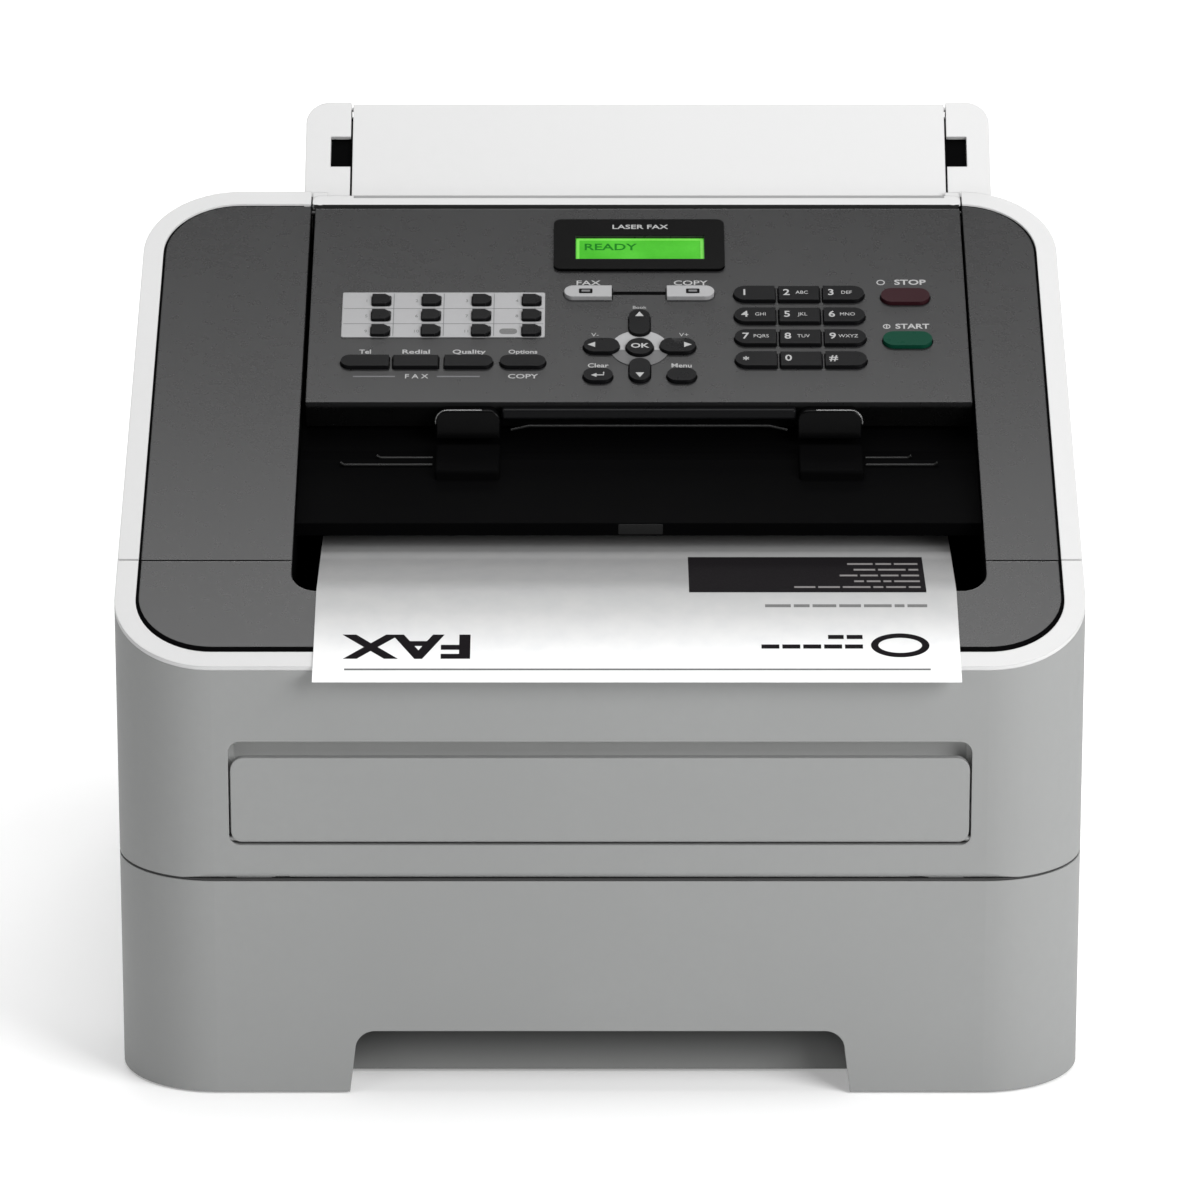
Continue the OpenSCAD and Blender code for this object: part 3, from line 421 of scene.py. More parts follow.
def paper(name):
    """Office paper: matt, with a faint fibre cloud, and a painted shadow that darkens it towards the hood
    over it.
    """
    material, tree, bsdf = shader(name)
    place = node(tree, "ShaderNodeTexCoord").outputs["Object"]
    cloud = noise(tree, place, 120.0, 5.0)
    fibre = noise(tree, place, 2600.0, 3.0)
    base = mix(tree, middle(tree, cloud, 0.0, 1.0), (0.84, 0.845, 0.85, 1), (0.9, 0.9, 0.895, 1))
    # Painted shadow: darker towards the hood along y; the stops give place and darkening
    along = node(tree, "ShaderNodeSeparateXYZ", {0: place}).outputs["Y"]
    hood_shadow = node(tree, "ShaderNodeValToRGB", {"Fac": ranged(tree, along, -80 * MM, -190 * MM, 0.0, 1.0)})
    hood_shadow_ramp = hood_shadow.color_ramp
    stops = ((0.0, 0.58), (0.19, 0.77), (0.42, 0.72), (0.645, 0.51), (0.77, 0.32), (0.93, 0.06), (1.0, 0.0))
    for position, level in stops[1:-1]:
        hood_shadow_ramp.elements.new(position)
    for element, (position, level) in zip(hood_shadow_ramp.elements, stops):
        element.position, element.color = position, (level, level, level, 1)
    base = mix(tree, hood_shadow.outputs["Color"], base, (0.02, 0.02, 0.02, 1))
    tree.links.new(base, bsdf.inputs["Base Color"])
    tree.links.new(middle(tree, fibre, 0.8, 0.95), bsdf.inputs["Roughness"])
    bump = node(tree, "ShaderNodeBump", {"Strength": 0.15, "Distance": 0.03 * MM, "Height": fibre})
    tree.links.new(bump.outputs["Normal"], bsdf.inputs["Normal"])
    bsdf.inputs["Specular IOR Level"].default_value = 0.2
    return material


def backlit(name, colour, dim, strength):
    """A lit display: its brightness changing in a slow cloud, with the cell's fine grid."""
    material, tree, bsdf = shader(name)
    place = node(tree, "ShaderNodeTexCoord").outputs["Object"]
    grid = node(tree, "ShaderNodeTexNoise", {"Vector": place, "Scale": 900.0, "Detail": 1.0}).outputs["Fac"]
    cloud = noise(tree, place, 60.0)
    glow = mix(tree, middle(tree, cloud, 0.0, 1.0), shade(dim, 1), shade(colour, 1))
    glow = mix(tree, ranged(tree, grid, 0.4, 0.6, 0.0, 0.12), glow, shade(colour, 0.6))
    tree.links.new(glow, bsdf.inputs["Base Color"])
    tree.links.new(glow, bsdf.inputs["Emission Color"])
    bsdf.inputs["Emission Strength"].default_value = strength
    tree.links.new(middle(tree, cloud, 0.12, 0.2), bsdf.inputs["Roughness"])
    return material


WHITE = moulded("white_shell", (0.535, 0.535, 0.535), rough=0.45, vary=0.02, wear=0.1, grain=0.22,
                specular=0.35)
GREY = moulded("grey_shell", (0.248, 0.252, 0.25), rough=0.5, vary=0.03, wear=0.2, grain=0.3, specular=0.35)
# Painted shade: the grip recess is a darker grey that turns near black towards its top
GRIP_PAINTED_SHADE = moulded("grey_grip_recess", (0.19, 0.193, 0.19), rough=0.6, vary=0.03, wear=0.1, grain=0.3,
               specular=0.1, depth_shade=((0.006, 0.006, 0.006), 177, 157))
# Painted light: a lighter grey than the cover, for the shaded back wall of the door pocket
POCKET_PAINTED_LIGHT = moulded("grey_door_pocket", (0.4, 0.405, 0.4), rough=0.5, vary=0.03, wear=0.1, grain=0.3,
                 specular=0.3)
# Painted shade: a dark grey for strips that fill seams where there is only shade
SHADE = moulded("grey_seam", (0.05, 0.05, 0.05), rough=0.6, vary=0.03, wear=0.0, grain=0.3, specular=0.1)
# Painted shade: near black, for the white tray face that lies in shade
SHADE_BLACK = moulded("dark_edge", (0.02, 0.02, 0.02), rough=0.6, vary=0.03, wear=0.0, grain=0.2,
                      specular=0.05)
# Painted shade: the inlay turns near black from 1.6 to 3.2 mm under the sloped top, on the walls that drop
# from it
INLAY = moulded("dark_inlay", (0.0135, 0.0135, 0.014), rough=0.25, spread=0.01, vary=0.04, wear=0.12,
                grain=0.02, specular=0.42, depth_shade=((0.002, 0.002, 0.002), 1.6, 3.2))
BLACK = moulded("black_plastic", (0.0014, 0.0014, 0.0015), rough=0.6, spread=0.06, wear=0.01, grain=0.1,
                specular=0.008)
INNER = moulded("inner_dark_plastic", (0.022, 0.022, 0.024), rough=0.5, spread=0.06, wear=0.15, grain=0.3,
                specular=0.3)
GLOSS = moulded("gloss_black", (0.003, 0.003, 0.003), rough=0.3, spread=0.04, wear=0.03, grain=0.04,
                specular=0.035)
POLISH = moulded("polished_black", (0.0014, 0.0014, 0.0015), rough=0.12, spread=0.02, wear=0.02, grain=0.02,
                 edge=0.2 * MM, specular=0.06)
# Painted highlight: a light grey, glossy look for glints on black edges
PAINTED_GLINT = moulded("glossy_edge", (0.12, 0.12, 0.12), rough=0.18, spread=0.02, wear=0.0, grain=0.02,
                specular=1.0)
SATIN = moulded("satin_black", (0.004, 0.004, 0.004), rough=0.22, spread=0.04, wear=0.05, grain=0.05,
                specular=0.3)
KEY = moulded("black_key", (0.005, 0.005, 0.0055), rough=0.25, spread=0.04, wear=0.1, grain=0.08,
              edge=0.25 * MM, specular=0.08)
SILVER = moulded("silver_paint", (0.27, 0.27, 0.275), rough=0.4, vary=0.05, wear=0.12, grain=0.25,
                 grain_scale=2600, specular=0.5)
# Painted shade: a darker copy of the silver paint
SILVER_PAINTED_SHADE = moulded("shaded_silver_paint", (0.09, 0.09, 0.092), rough=0.4, vary=0.05, wear=0.12, grain=0.25,
                     grain_scale=2600, specular=0.3)
STOP = moulded("stop_key", (0.024, 0.0065, 0.009), rough=0.25, wear=0.1, grain=0.08, edge=0.25 * MM,
               specular=0.07)
START = moulded("start_key", (0.003, 0.04, 0.023), rough=0.25, wear=0.05, grain=0.08, edge=0.25 * MM,
                specular=0.05)
STEEL = metal("zinc_steel", (0.45, 0.46, 0.48))
CHROME = metal("screw_steel", (0.5, 0.5, 0.5), rough=0.25, stretch=(400, 400, 400))
RUBBER = moulded("rubber", (0.018, 0.018, 0.018), rough=0.75, wear=0.1, grain=0.6, grain_scale=900,
                 specular=0.2)
DRUM = moulded("drum_coat", (0.02, 0.13, 0.2), rough=0.15, spread=0.04, wear=0.0, grain=0.03)
FUSER = moulded("fuser_sleeve", (0.23, 0.08, 0.035), rough=0.4, wear=0.0, grain=0.1)
BOARD = moulded("circuit_board", (0.008, 0.085, 0.03), rough=0.3, vary=0.25, wear=0.1, grain=0.3,
                grain_scale=500)
LEGEND = printed("legend_white", (0.36, 0.36, 0.36))
DIM_LEGEND = printed("legend_grey", (0.16, 0.16, 0.165))
INK = printed("page_ink", (0.008, 0.007, 0.008), rough=0.8)
PALE_INK = printed("page_pale_ink", (0.2, 0.19, 0.19), rough=0.8)
GREY_INK = printed("page_grey_ink", (0.15, 0.15, 0.15), rough=0.8)
PAPER = paper("office_paper")
LCD = backlit("lcd_green", (0.05, 0.36, 0.016), (0.035, 0.29, 0.012), 0.35)
LCD_EDGE = backlit("lcd_border", (0.14, 0.50, 0.07), (0.11, 0.44, 0.05), 0.4)
LCD_INK = printed("lcd_ink", (0.01, 0.16, 0.01), rough=0.3)

KEY_NODES = [n for n in NODES if n.startswith("key_") or n.endswith("_key") or n.startswith("function_key")]
KEY_NODES.append("one_touch_keys")
LOOKS = {
    WHITE: ["left_side_cover", "right_side_cover", "upper_housing", "front_rim", "document_tray",
            "document_flap", "back_cover"],
    GREY: ["front_cover", "manual_feed_door", "paper_tray"],
    INLAY: ["top_inlays", "front_inlay", "control_panel"],
    BLACK: ["output_bay", "exit_hood"],
    INNER: ["toner_unit", "laser_unit", "line_and_power_sockets", "power_switch", "paper_guide_left",
            "paper_guide_right"],
    SILVER: ["fax_key", "copy_key"],
    STOP: ["stop_key"],
    START: ["start_key"],
    LCD: ["lcd_screen"],
    STEEL: ["base_frame", "lift_plate"],
    RUBBER: ["rubber_feet", "pickup_roller", "exit_rollers", "feed_roller"],
    DRUM: ["photo_drum"],
    FUSER: ["fuser_roller"],
    BOARD: ["main_board"],
    PAPER: ["printed_page"],
}
LOOKS[KEY] = [n for n in KEY_NODES if not any(n in nodes for nodes in LOOKS.values())]
for look, names in LOOKS.items():
    for name in names:
        NODES[name].data.materials.clear()
        NODES[name].data.materials.append(look)


def repaint(name, look, chosen):
    """Gives a CAD node a second look, on the faces that are chosen by their middle and normal."""
    mesh = NODES[name].data
    mesh.materials.append(look)
    for face in mesh.polygons:
        if chosen(face.center, face.normal):
            face.material_index = 1


# The front face of the document tray, painted near black as painted shade over the lid
TRAY_FRONT_Y = 92.5 * MM
repaint("document_tray", SHADE_BLACK, lambda p, n: n.y < -0.9 and p.y < TRAY_FRONT_Y)
# What shows of the base frame at the front
repaint("base_frame", GREY, lambda p, n: p.y < rim_lo.y + 7 * MM)
# The back wall of the pocket that the feed door lies in, painted a lighter grey than the cover to lift the
# shade in it: painted light
POCKET_W, POCKET_Y0, POCKET_Y1 = 142 * MM, -176 * MM, -171 * MM
repaint("front_cover", POCKET_PAINTED_LIGHT,
        lambda p, n: abs(p.x) < POCKET_W and POCKET_Y0 < p.y < POCKET_Y1 and n.y < -0.8)
# The grip recess behind the notch of the drawer, painted a darker grey that fades to near black towards its
# top: painted shade
NOTCH_W, NOTCH_H, NOTCH_Y0, NOTCH_Y1 = 98.5 * MM, 29 * MM, rim_lo.y + 3 * MM, -150 * MM
repaint("paper_tray", GRIP_PAINTED_SHADE,
        lambda p, n: abs(p.x) < NOTCH_W and NOTCH_Y0 < p.y < NOTCH_Y1 and p.z < NOTCH_H)
for name in KEY_NODES:
    soften(NODES[name], 0.45 * MM)

# ---- Lettering on the keys ----

keys = {name: Extent(name) for name in KEY_NODES}
DIGITS = {
    "key_1": ("1", ""), "key_2": ("2", "ABC"), "key_3": ("3", "DEF"),
    "key_4": ("4", "GHI"), "key_5": ("5", "JKL"), "key_6": ("6", "MNO"),
    "key_7": ("7", "PQRS"), "key_8": ("8", "TUV"), "key_9": ("9", "WXYZ"),
    "key_star": ("*", ""), "key_0": ("0", ""), "key_hash": ("#", ""),
}
for name, (digit, letters) in DIGITS.items():
    k = keys[name]
    start = k.x0 + (4.2 if name in ("key_1", "key_4", "key_7", "key_star") else 3.2) * MM
    drop = 1.2 * MM if digit == "*" else 0
    marks = [words(digit, start, k.s - drop, 5.4 * MM, k.h1, wide=1.05, bold=0.08 * MM)]
    if letters:
        marks.append(words(letters, start + 6.2 * MM, k.s, 2.9 * MM, k.h1, wide=0.9))
    on_key(name, "_legend", marks, LEGEND)


def arrow(x, s, size, turn, height):
    """A small solid arrowhead pointing up the slope, turned by some degrees."""
    points = []
    a = math.radians(turn)
    for px, py in ((0, 0.62), (-0.56, -0.38), (0.56, -0.38)):
        across, up = px * math.cos(a) - py * math.sin(a), px * math.sin(a) + py * math.cos(a)
        points.append((x + size * across, s + size * up))
    return film(points, height)


# Each arrow key's turn in degrees, and its arrow's place from the key's middle in mm
ARROWS = (("up_key", 0, 0, 4.6), ("down_key", 180, 0, -3.6), ("left_key", 90, -3.6, 0),
          ("right_key", 270, 3.6, 0))
for name, turn, dx, ds in ARROWS:
    k = keys[name]
    on_key(name, "_legend", [arrow(k.x + dx * MM, k.s + ds * MM, 3.0 * MM, turn, k.h1)], LEGEND)
ok = keys["ok_key"]
on_key("ok_key", "_legend", [words("OK", ok.x, ok.s, 4.0 * MM, ok.h1, wide=1.2, bold=0.1 * MM)], LEGEND)
back = keys["clear_key"]
hook_x, hook_s = back.x + 2.2 * MM, back.s - 0.8 * MM
hook = [(hook_x, back.s + 1.0 * MM, back.h1), (hook_x, hook_s, back.h1), (back.x - 0.6 * MM, hook_s, back.h1)]
hook_head = arrow(back.x - 1.4 * MM, hook_s, 2.2 * MM, 90, back.h1)
on_key("clear_key", "_legend", [tube(hook, 0.28 * MM, 6), hook_head], LEGEND)

# The mode keys carry a small dark window each, with a lamp in it
for name, shift in (("fax_key", -0.9 * MM), ("copy_key", 0.9 * MM)):
    k = keys[name]
    pane_top = k.h1 + 2 * SKIN
    pane = slab(centred(k.x + shift, k.s, 5.4 * MM, 3.0 * MM, 0.5 * MM), k.h1, pane_top)
    lens = slab(centred(k.x + shift, k.s, 3.4 * MM, 1.2 * MM, 0.3 * MM), pane_top, pane_top + 2 * SKIN)
    on_key(name, "_window", [pane], GLOSS)
    on_key(name, "_lamp", [lens], DIM_LEGEND)

# ---- Lettering printed on the panel ----

# The word over each key: its rise over the key's middle, its size and its shift to the right in mm, its
# stretch, and its boldness in mm
PANEL_WORDS = {
    "fax_key": ("FAX", 7.3, 4.3, 0, 1.25, 0.04),
    "copy_key": ("COPY", 7.3, 4.3, 0, 1.2, 0.04),
    "stop_key": ("STOP", 10.2, 4.6, 2.2, 1.15, 0.1),
    "start_key": ("START", 9.6, 4.4, 2.2, 1.05, 0.1),
    "clear_key": ("Clear", 7.3, 3.7, 0, 1, 0.06),
    "menu_key": ("Menu", 7.3, 3.7, 0, 1, 0.06),
    "left_key": ("V-", 8.3, 3.3, -2.5, 1, 0),
    "right_key": ("V+", 8.3, 3.3, 2.5, 1, 0),
    "up_key": ("Book", 11.2, 2.6, 0, 1, 0),
    "function_key_1": ("Tel", 7.3, 3.7, 0, 1, 0.06),
    "function_key_2": ("Redial", 7.3, 3.7, 0, 1.25, 0.06),
    "function_key_3": ("Quality", 7.3, 3.7, 0, 1.2, 0.06),
    "function_key_4": ("Options", 7.3, 3.5, 0, 1, 0.06),
}
panel_words = []
for name, (text, rise, size, shift, wide, bold) in PANEL_WORDS.items():
    x, s = keys[name].x + shift * MM, keys[name].s + rise * MM
    panel_words.append(words(text, x, s, size * MM, 0, wide=wide, bold=bold * MM))
fn = [keys["function_key_%d" % i] for i in (1, 2, 3, 4)]
foot_s = fn[0].s - 8.6 * MM
for text, x, wide in (("F A X", (fn[0].x0 + fn[2].x1) / 2, 1), ("COPY", fn[3].x, 1.15)):
    panel_words.append(words(text, x, foot_s, 3.9 * MM, 0, wide=wide, bold=0.05 * MM))
# A ring before each of the two words at the right, the second one with a bar in it
for name, left, radius in (("stop_key", 9.5, 1.7), ("start_key", 8.0, 1.5)):
    x, s = keys[name].x - left * MM, keys[name].s + PANEL_WORDS[name][1] * MM
    hole = disc(x, s, (radius - 0.45) * MM)
    panel_words.append(cut(film(disc(x, s, radius * MM)), [through(hole)]))
panel_words.append(film(centred(x, s, 0.5 * MM, 2.0 * MM)))
on_panel("panel_legends", panel_words, LEGEND)

lines = []
for x0, x1 in ((fn[0].x0 + 5 * MM, fn[1].x0 + 1 * MM), (fn[1].x1 - 0.5 * MM, fn[2].x1 - 5 * MM)):
    lines.append(film(rounded(x0, x1, foot_s - 0.35 * MM, foot_s + 0.35 * MM)))
on_panel("panel_bracket_lines", lines, DIM_LEGEND)
fax, copy = keys["fax_key"], keys["copy_key"]
groove = rounded(fax.x1 + 0.5 * MM, copy.x0 - 0.5 * MM, fax.s - 0.5 * MM, fax.s + 1.6 * MM)
on_panel("mode_key_link", [film(groove)], BLACK)

# ---- Silver plate round the one-touch keys ----

COLS, ROWS = 4, 3
KEY_W, KEY_H = 7.2 * MM, 6.4 * MM


def touch_centres():
    """Middles of the one-touch keys, from the outermost points of the caps in the CAD."""
    points = [SLOPE_FRAME.inverted() @ v.co for v in NODES["one_touch_keys"].data.vertices]
    tops = [v for v in points if v.z > 0]
    x0, x1 = min(v.x for v in tops) + KEY_W / 2, max(v.x for v in tops) - KEY_W / 2
    s0, s1 = min(v.y for v in tops) + KEY_H / 2, max(v.y for v in tops) - KEY_H / 2
    xs = [x0 + (x1 - x0) * i / (COLS - 1) for i in range(COLS)]
    rows = [s1 - (s1 - s0) * i / (ROWS - 1) for i in range(ROWS)]
    return xs, rows


touch_xs, touch_rows = touch_centres()
PLATE_T = 0.35 * MM
plate_x0, plate_x1 = touch_xs[0] - 15.5 * MM, touch_xs[-1] + 5.4 * MM
plate_s0, plate_s1 = touch_rows[-1] - 3.8 * MM, touch_rows[0] + 5.6 * MM
wells = []
for x in touch_xs:
    for s in touch_rows:
        wells.append(through(centred(x, s, KEY_W + 2 * GROW, KEY_H + 2 * GROW, 1.2 * MM)))
plate = cut(slab(rounded(plate_x0, plate_x1, plate_s0, plate_s1, 0.8 * MM), 0, PLATE_T), wells)
on_panel("one_touch_plate", [plate], SILVER)
marks, rules = [], []
pitch_x = touch_xs[1] - touch_xs[0]
for i, x in enumerate(touch_xs):
    if i:
        rule_x = x - pitch_x + KEY_W / 2 + 1.3 * MM
        rule = rounded(rule_x, rule_x + 0.3 * MM, plate_s0 + 0.8 * MM, plate_s1 - 0.8 * MM)
        rules.append(film(rule, PLATE_T))
    for j, s in enumerate(touch_rows):
        if i == COLS - 1 and j == ROWS - 1:
            pill = rounded(x - 12.7 * MM, x - 5.6 * MM, s - 1.8 * MM, s + 1.8 * MM, 1.7 * MM)
            marks.append(film(pill, PLATE_T))
        else:
            marks.append(words(str(1 + i + COLS * j), x - KEY_W / 2 - 2.2 * MM, s, 2.5 * MM, PLATE_T))
on_panel("one_touch_numbers", marks, GREY_INK)
for s0, s1 in zip(touch_rows, touch_rows[1:]):
    mid = (s0 + s1) / 2
    rule = rounded(plate_x0 + 0.6 * MM, plate_x1 - 0.6 * MM, mid - 0.12 * MM, mid + 0.12 * MM)
    rules.append(film(rule, PLATE_T))
on_panel("one_touch_rules", rules, DIM_LEGEND)

# ---- Silver ring round the OK key, its lower half in painted shade ----

RING_T, RING_R, RING_HOLE_R = 0.3 * MM, 11.6 * MM, 5.8 * MM
ring_cutters = [through(disc(ok.x, ok.s, RING_HOLE_R))]
for name in ("up_key", "down_key", "left_key", "right_key"):
    k = keys[name]
    radius = min(k.x1 - k.x0, k.s1 - k.s0) / 2 + GROW
    ring_cutters.append(through(grown(k, GROW, radius - 0.01 * MM)))
ring = cut(slab(disc(ok.x, ok.s, RING_R, 72), 0, RING_T), ring_cutters)
split_s, far = ok.s - 1.0 * MM, 20 * MM
upper_half = through(rounded(ok.x - far, ok.x + far, ok.s - far, split_s))
lower_half = through(rounded(ok.x - far, ok.x + far, split_s, ok.s + far))
on_panel("arrow_ring_upper", [cut(ring, [upper_half])], SILVER)
on_panel("arrow_ring_lower", [cut(ring, [lower_half])], SILVER_PAINTED_SHADE)

# ---- Display ----

lcd = Extent("lcd_screen")
BEZEL_RISE, BEZEL_T = 1.0 * MM, 0.3 * MM
bezel_top = BEZEL_RISE + BEZEL_T


def bezel_plan(inset, radius):
    """Outline of the display's bezel, moved inwards."""
    x0, x1, s0, s1 = lcd.x0 - 8.9 * MM, lcd.x1 + 8.2 * MM, lcd.s0 - 6.8 * MM, lcd.s1 + 11.1 * MM
    return rounded(x0 + inset, x1 - inset, s0 + inset, s1 - inset, radius)


outer, inner = bezel_plan(0, 3.2 * MM), bezel_plan(0.4 * MM, 2.9 * MM)
bezel = cut(slab(outer, BEZEL_RISE, bezel_top), [through(grown(lcd, 0.1 * MM))])
on_panel("display_bezel", [bezel], GLOSS)
on_panel("display_bezel_side", [cut(slab(outer, 0, BEZEL_RISE), [through(inner)])], BLACK)
title = words("LASER FAX", lcd.x, lcd.s1 + 5.6 * MM, 3.9 * MM, bezel_top, wide=1.2, bold=0.06 * MM)
on_panel("display_title", [title], LEGEND)
glass = rounded(lcd.x0 + 1.5 * MM, lcd.x1 - 1.5 * MM, lcd.s0 + 1.6 * MM, lcd.s1 - 1.6 * MM, 0.3 * MM)
border = cut(slab(grown(lcd, -0.3 * MM, 0.4 * MM), lcd.h1, lcd.h1 + 2 * SKIN), [through(glass)])
on_panel("display_border", [border], LCD_EDGE)
reading_x, reading_s = lcd.x0 + 3.2 * MM, lcd.s0 + 9.6 * MM
reading = words("READY", reading_x, reading_s, 6.2 * MM, lcd.h1, align="LEFT", wide=1.1, bold=0.1 * MM)
on_panel("display_reading", [reading], LCD_INK)

# ---- Dark strips in the gaps of the top: painted shade ----


def plan_outline(inset, front=0.0):
    """Half of the raised part's plan, moved inwards: from the rear middle round the left side to the
    front middle. front is how much further the front edge is moved."""
    x0, y0, y1, r = housing_lo.x + inset, rim_lo.y + inset + front, RAISED_Y - inset, FRONT_R - inset
    half = [(0.0, y1)] + arc(x0 + r, y1 - r, r, 90, 180, 14)
    half += [(x0, y) for y in (SEAM_Y + 0.25 * MM, SEAM_Y - 0.25 * MM)]
    return half + arc(x0 + r, y0 + r, r, 180, 270, 14) + [(0.0, y0)]


def band(name, body, look, edges, section, keep, front=0.0, stops=(None, None)):
    """A strip that follows the plan on both sides. section holds (edge, height at y) points, edge 0 being the
    outer one, and stops the x at which the left and right strips end at the rear."""
    parts = []
    outlines = plan_outline(edges[0]), plan_outline(edges[1], front)
    for side, stop in zip((1, -1), stops):
        pairs = [tuple((side * x, y) for x, y in pair) for pair in zip(*outlines) if keep(pair[0][1])]
        if stop is not None:
            pairs[0] = tuple((stop, y) for x, y in pairs[0])
        bm = bmesh.new()
        rows = []
        for pair in pairs:
            rows.append([bm.verts.new((*pair[edge], height(pair[edge][1]))) for edge, height in section])
        parts.append(loft(bm, rows))
    return piece(name, parts, look, body)


def under(depth):
    """The height that lies some mm under the sloped top."""
    return lambda y: top_z(y) - depth * MM


def level(z):
    return lambda y: z


def section(outer_top, inner_top, inner_low, outer_low):
    """A strip's section from the heights of its four corners."""
    return (0, outer_top), (1, inner_top), (1, inner_low), (0, outer_low)


GAP_EDGE = RIM_W + 0.02 * MM
band("rear_gap_line", "main_frame", BLACK, (GAP_EDGE, RIM_W + 0.98 * MM),
     section(under(0.7), under(0.7), under(2.3), under(2.3)), lambda y: y > SEAM_Y,
     stops=(BAY_X0 - 2.8 * MM, BAY_X1 + 2.8 * MM))
band("front_gap_line", "front_cover", BLACK, (GAP_EDGE, RIM_W + 1.1 * MM),
     section(under(0.3), under(-0.04), under(0.4), under(0.8)), lambda y: y < SEAM_Y, front=1.7 * MM)
# Painted shade: a dark strip in the seam between the front cover and the drawer
shadow_top, shadow_low = level(tray_top + 0.92 * MM), level(tray_top + 0.1 * MM)
band("cover_seam_seal", "main_frame", SHADE, (0.4 * MM, 2.0 * MM),
     section(shadow_top, shadow_top, shadow_low, shadow_low), lambda y: y < SEAM_Y - 3 * MM)

lid = Extent("control_panel")
sides = []
for x0, x1 in ((BAY_X0 + 0.03 * MM, BAY_X0 + 0.42 * MM), (BAY_X1 - 0.42 * MM, BAY_X1 - 0.03 * MM)):
    sides.append(slab(rounded(x0, x1, lid.s0 + 1 * MM, up_slope(97.2 * MM)), -0.95 * MM, -0.35 * MM))
piece("lid_gap_lines", sides, BLACK, "main_frame", SLOPE_FRAME)
seam_shadow_strips = []
seam_s = up_slope(SEAM_Y)
for x0, x1 in ((rim_lo.x + 0.6 * MM, BAY_X0 - 2.6 * MM), (BAY_X1 + 2.6 * MM, rim_hi.x - 0.6 * MM)):
    seam_shadow_strips.append(slab(rounded(x0, x1, seam_s - 0.3 * MM, seam_s + 0.36 * MM), -1.6 * MM, -0.45 * MM))
piece("seam_lines", seam_shadow_strips, BLACK, "main_frame", SLOPE_FRAME)

# ---- Front of the lid and of the hood, over the bay ----

# Front edge of the lid, at the sloped top
LID_Y, LID_Z = -29.9 * MM, 231.2 * MM
TONGUE_X0, TONGUE_X1 = BAY_X0 + 53.2 * MM, BAY_X1 - 44.5 * MM
SHOULDER_W, SHOULDER_R = 25.2 * MM, 4.5 * MM
SHOULDERS = ((TONGUE_X0, TONGUE_X0 + SHOULDER_W), (TONGUE_X1 - SHOULDER_W, TONGUE_X1))

shoulders = []
for x0, x1 in SHOULDERS:
    outline = rounded(x0, x1, LID_Z - 13.6 * MM, LID_Z - 2.0 * MM, 0.6 * MM, SHOULDER_R)
    shoulders.append(upright(outline, LID_Y - 5.5 * MM, LID_Y + 2.5 * MM))
piece("lid_shoulders", shoulders, POLISH, "control_panel", bevel=1.3 * MM)
# Painted highlight: light grey tubes along the shoulders' outer top corners, for their glints
edges = []
edge_y = LID_Y - 4.6 * MM
for side, outer in ((1, TONGUE_X0), (-1, TONGUE_X1)):
    corner = arc(0, 0, SHOULDER_R, 190, 90)
    line = [(outer + side * (x + SHOULDER_R), edge_y, LID_Z - 6.8 * MM + z) for x, z in corner]
    edges.append(tube(line + [(outer + side * 18 * MM, edge_y, LID_Z - 2.3 * MM)], 0.5 * MM))
piece("lid_shoulder_edges", edges, PAINTED_GLINT, "control_panel")
bar_x0, bar_x1 = TONGUE_X0 + SHOULDER_W + 0.6 * MM, TONGUE_X1 - SHOULDER_W - 0.6 * MM
outline = rounded(bar_x0, bar_x1, LID_Z - 6.4 * MM, LID_Z - 2.2 * MM, 1.0 * MM)
strip = upright(outline, LID_Y - 3.2 * MM, LID_Y + 2.5 * MM)
piece("lid_front_strip", [strip], KEY, "control_panel", bevel=1.0 * MM)
lip_y, lip_z, lip_drop = LID_Y - 4.2 * MM, LID_Z - 8.6 * MM, 1.6 * MM
lip = [(bar_x0 + 3.5 * MM, lip_y, lip_z - lip_drop), (bar_x0 + 10.5 * MM, lip_y, lip_z),
       (bar_x1 - 10.5 * MM, lip_y, lip_z), (bar_x1 - 3.5 * MM, lip_y, lip_z - lip_drop)]
piece("lid_front_lip", [tube(lip, 0.55 * MM)], SATIN, "control_panel")
# The ribs on the hood under the shoulders: their profile as (y, z) in mm
RIB_PROFILE = ((-62, 207.5), (-46, 211), (-38, 211), (-38, 216.5), (-46, 216.5), (-62, 212.5))
ribs = [along_x([(y * MM, z * MM) for y, z in RIB_PROFILE], x0, x1) for x0, x1 in SHOULDERS]
piece("hood_ribs", ribs, BLACK, "main_frame", bevel=1.0 * MM)
# Two thin ridges beside each rib: their y and z, and then their lengths in mm
RIDGE_YZ = ((-46.5 * MM, 213.2 * MM), (-52.5 * MM, 212.2 * MM))
ridges = []
for side, start, spans in ((-1, TONGUE_X0 - 1 * MM, (22, 36)), (1, TONGUE_X1 + 1 * MM, (18, 28))):
    for span, (y, z) in zip(spans, RIDGE_YZ):
        end = start + side * span * MM
        line = [(end, y, z + 1.1 * MM), (end - side * 1.6 * MM, y, z), (start, y, z)]
        ridges.append(tube(line, 0.6 * MM))
piece("hood_ridges", ridges, SATIN, "main_frame")
mark_x = (BAY_X0 + BAY_X1) / 2 + 0.8 * MM
outline = rounded(mark_x - 8.6 * MM, mark_x + 8.6 * MM, hood_lo.z + 0.5 * MM, hood_lo.z + 4.6 * MM, 0.6 * MM)
window = upright(outline, hood_lo.y - 0.12 * MM, hood_lo.y + 0.3 * MM)
piece("hood_sensor_window", [window], SATIN, "main_frame")

# ---- Printed sheet ----

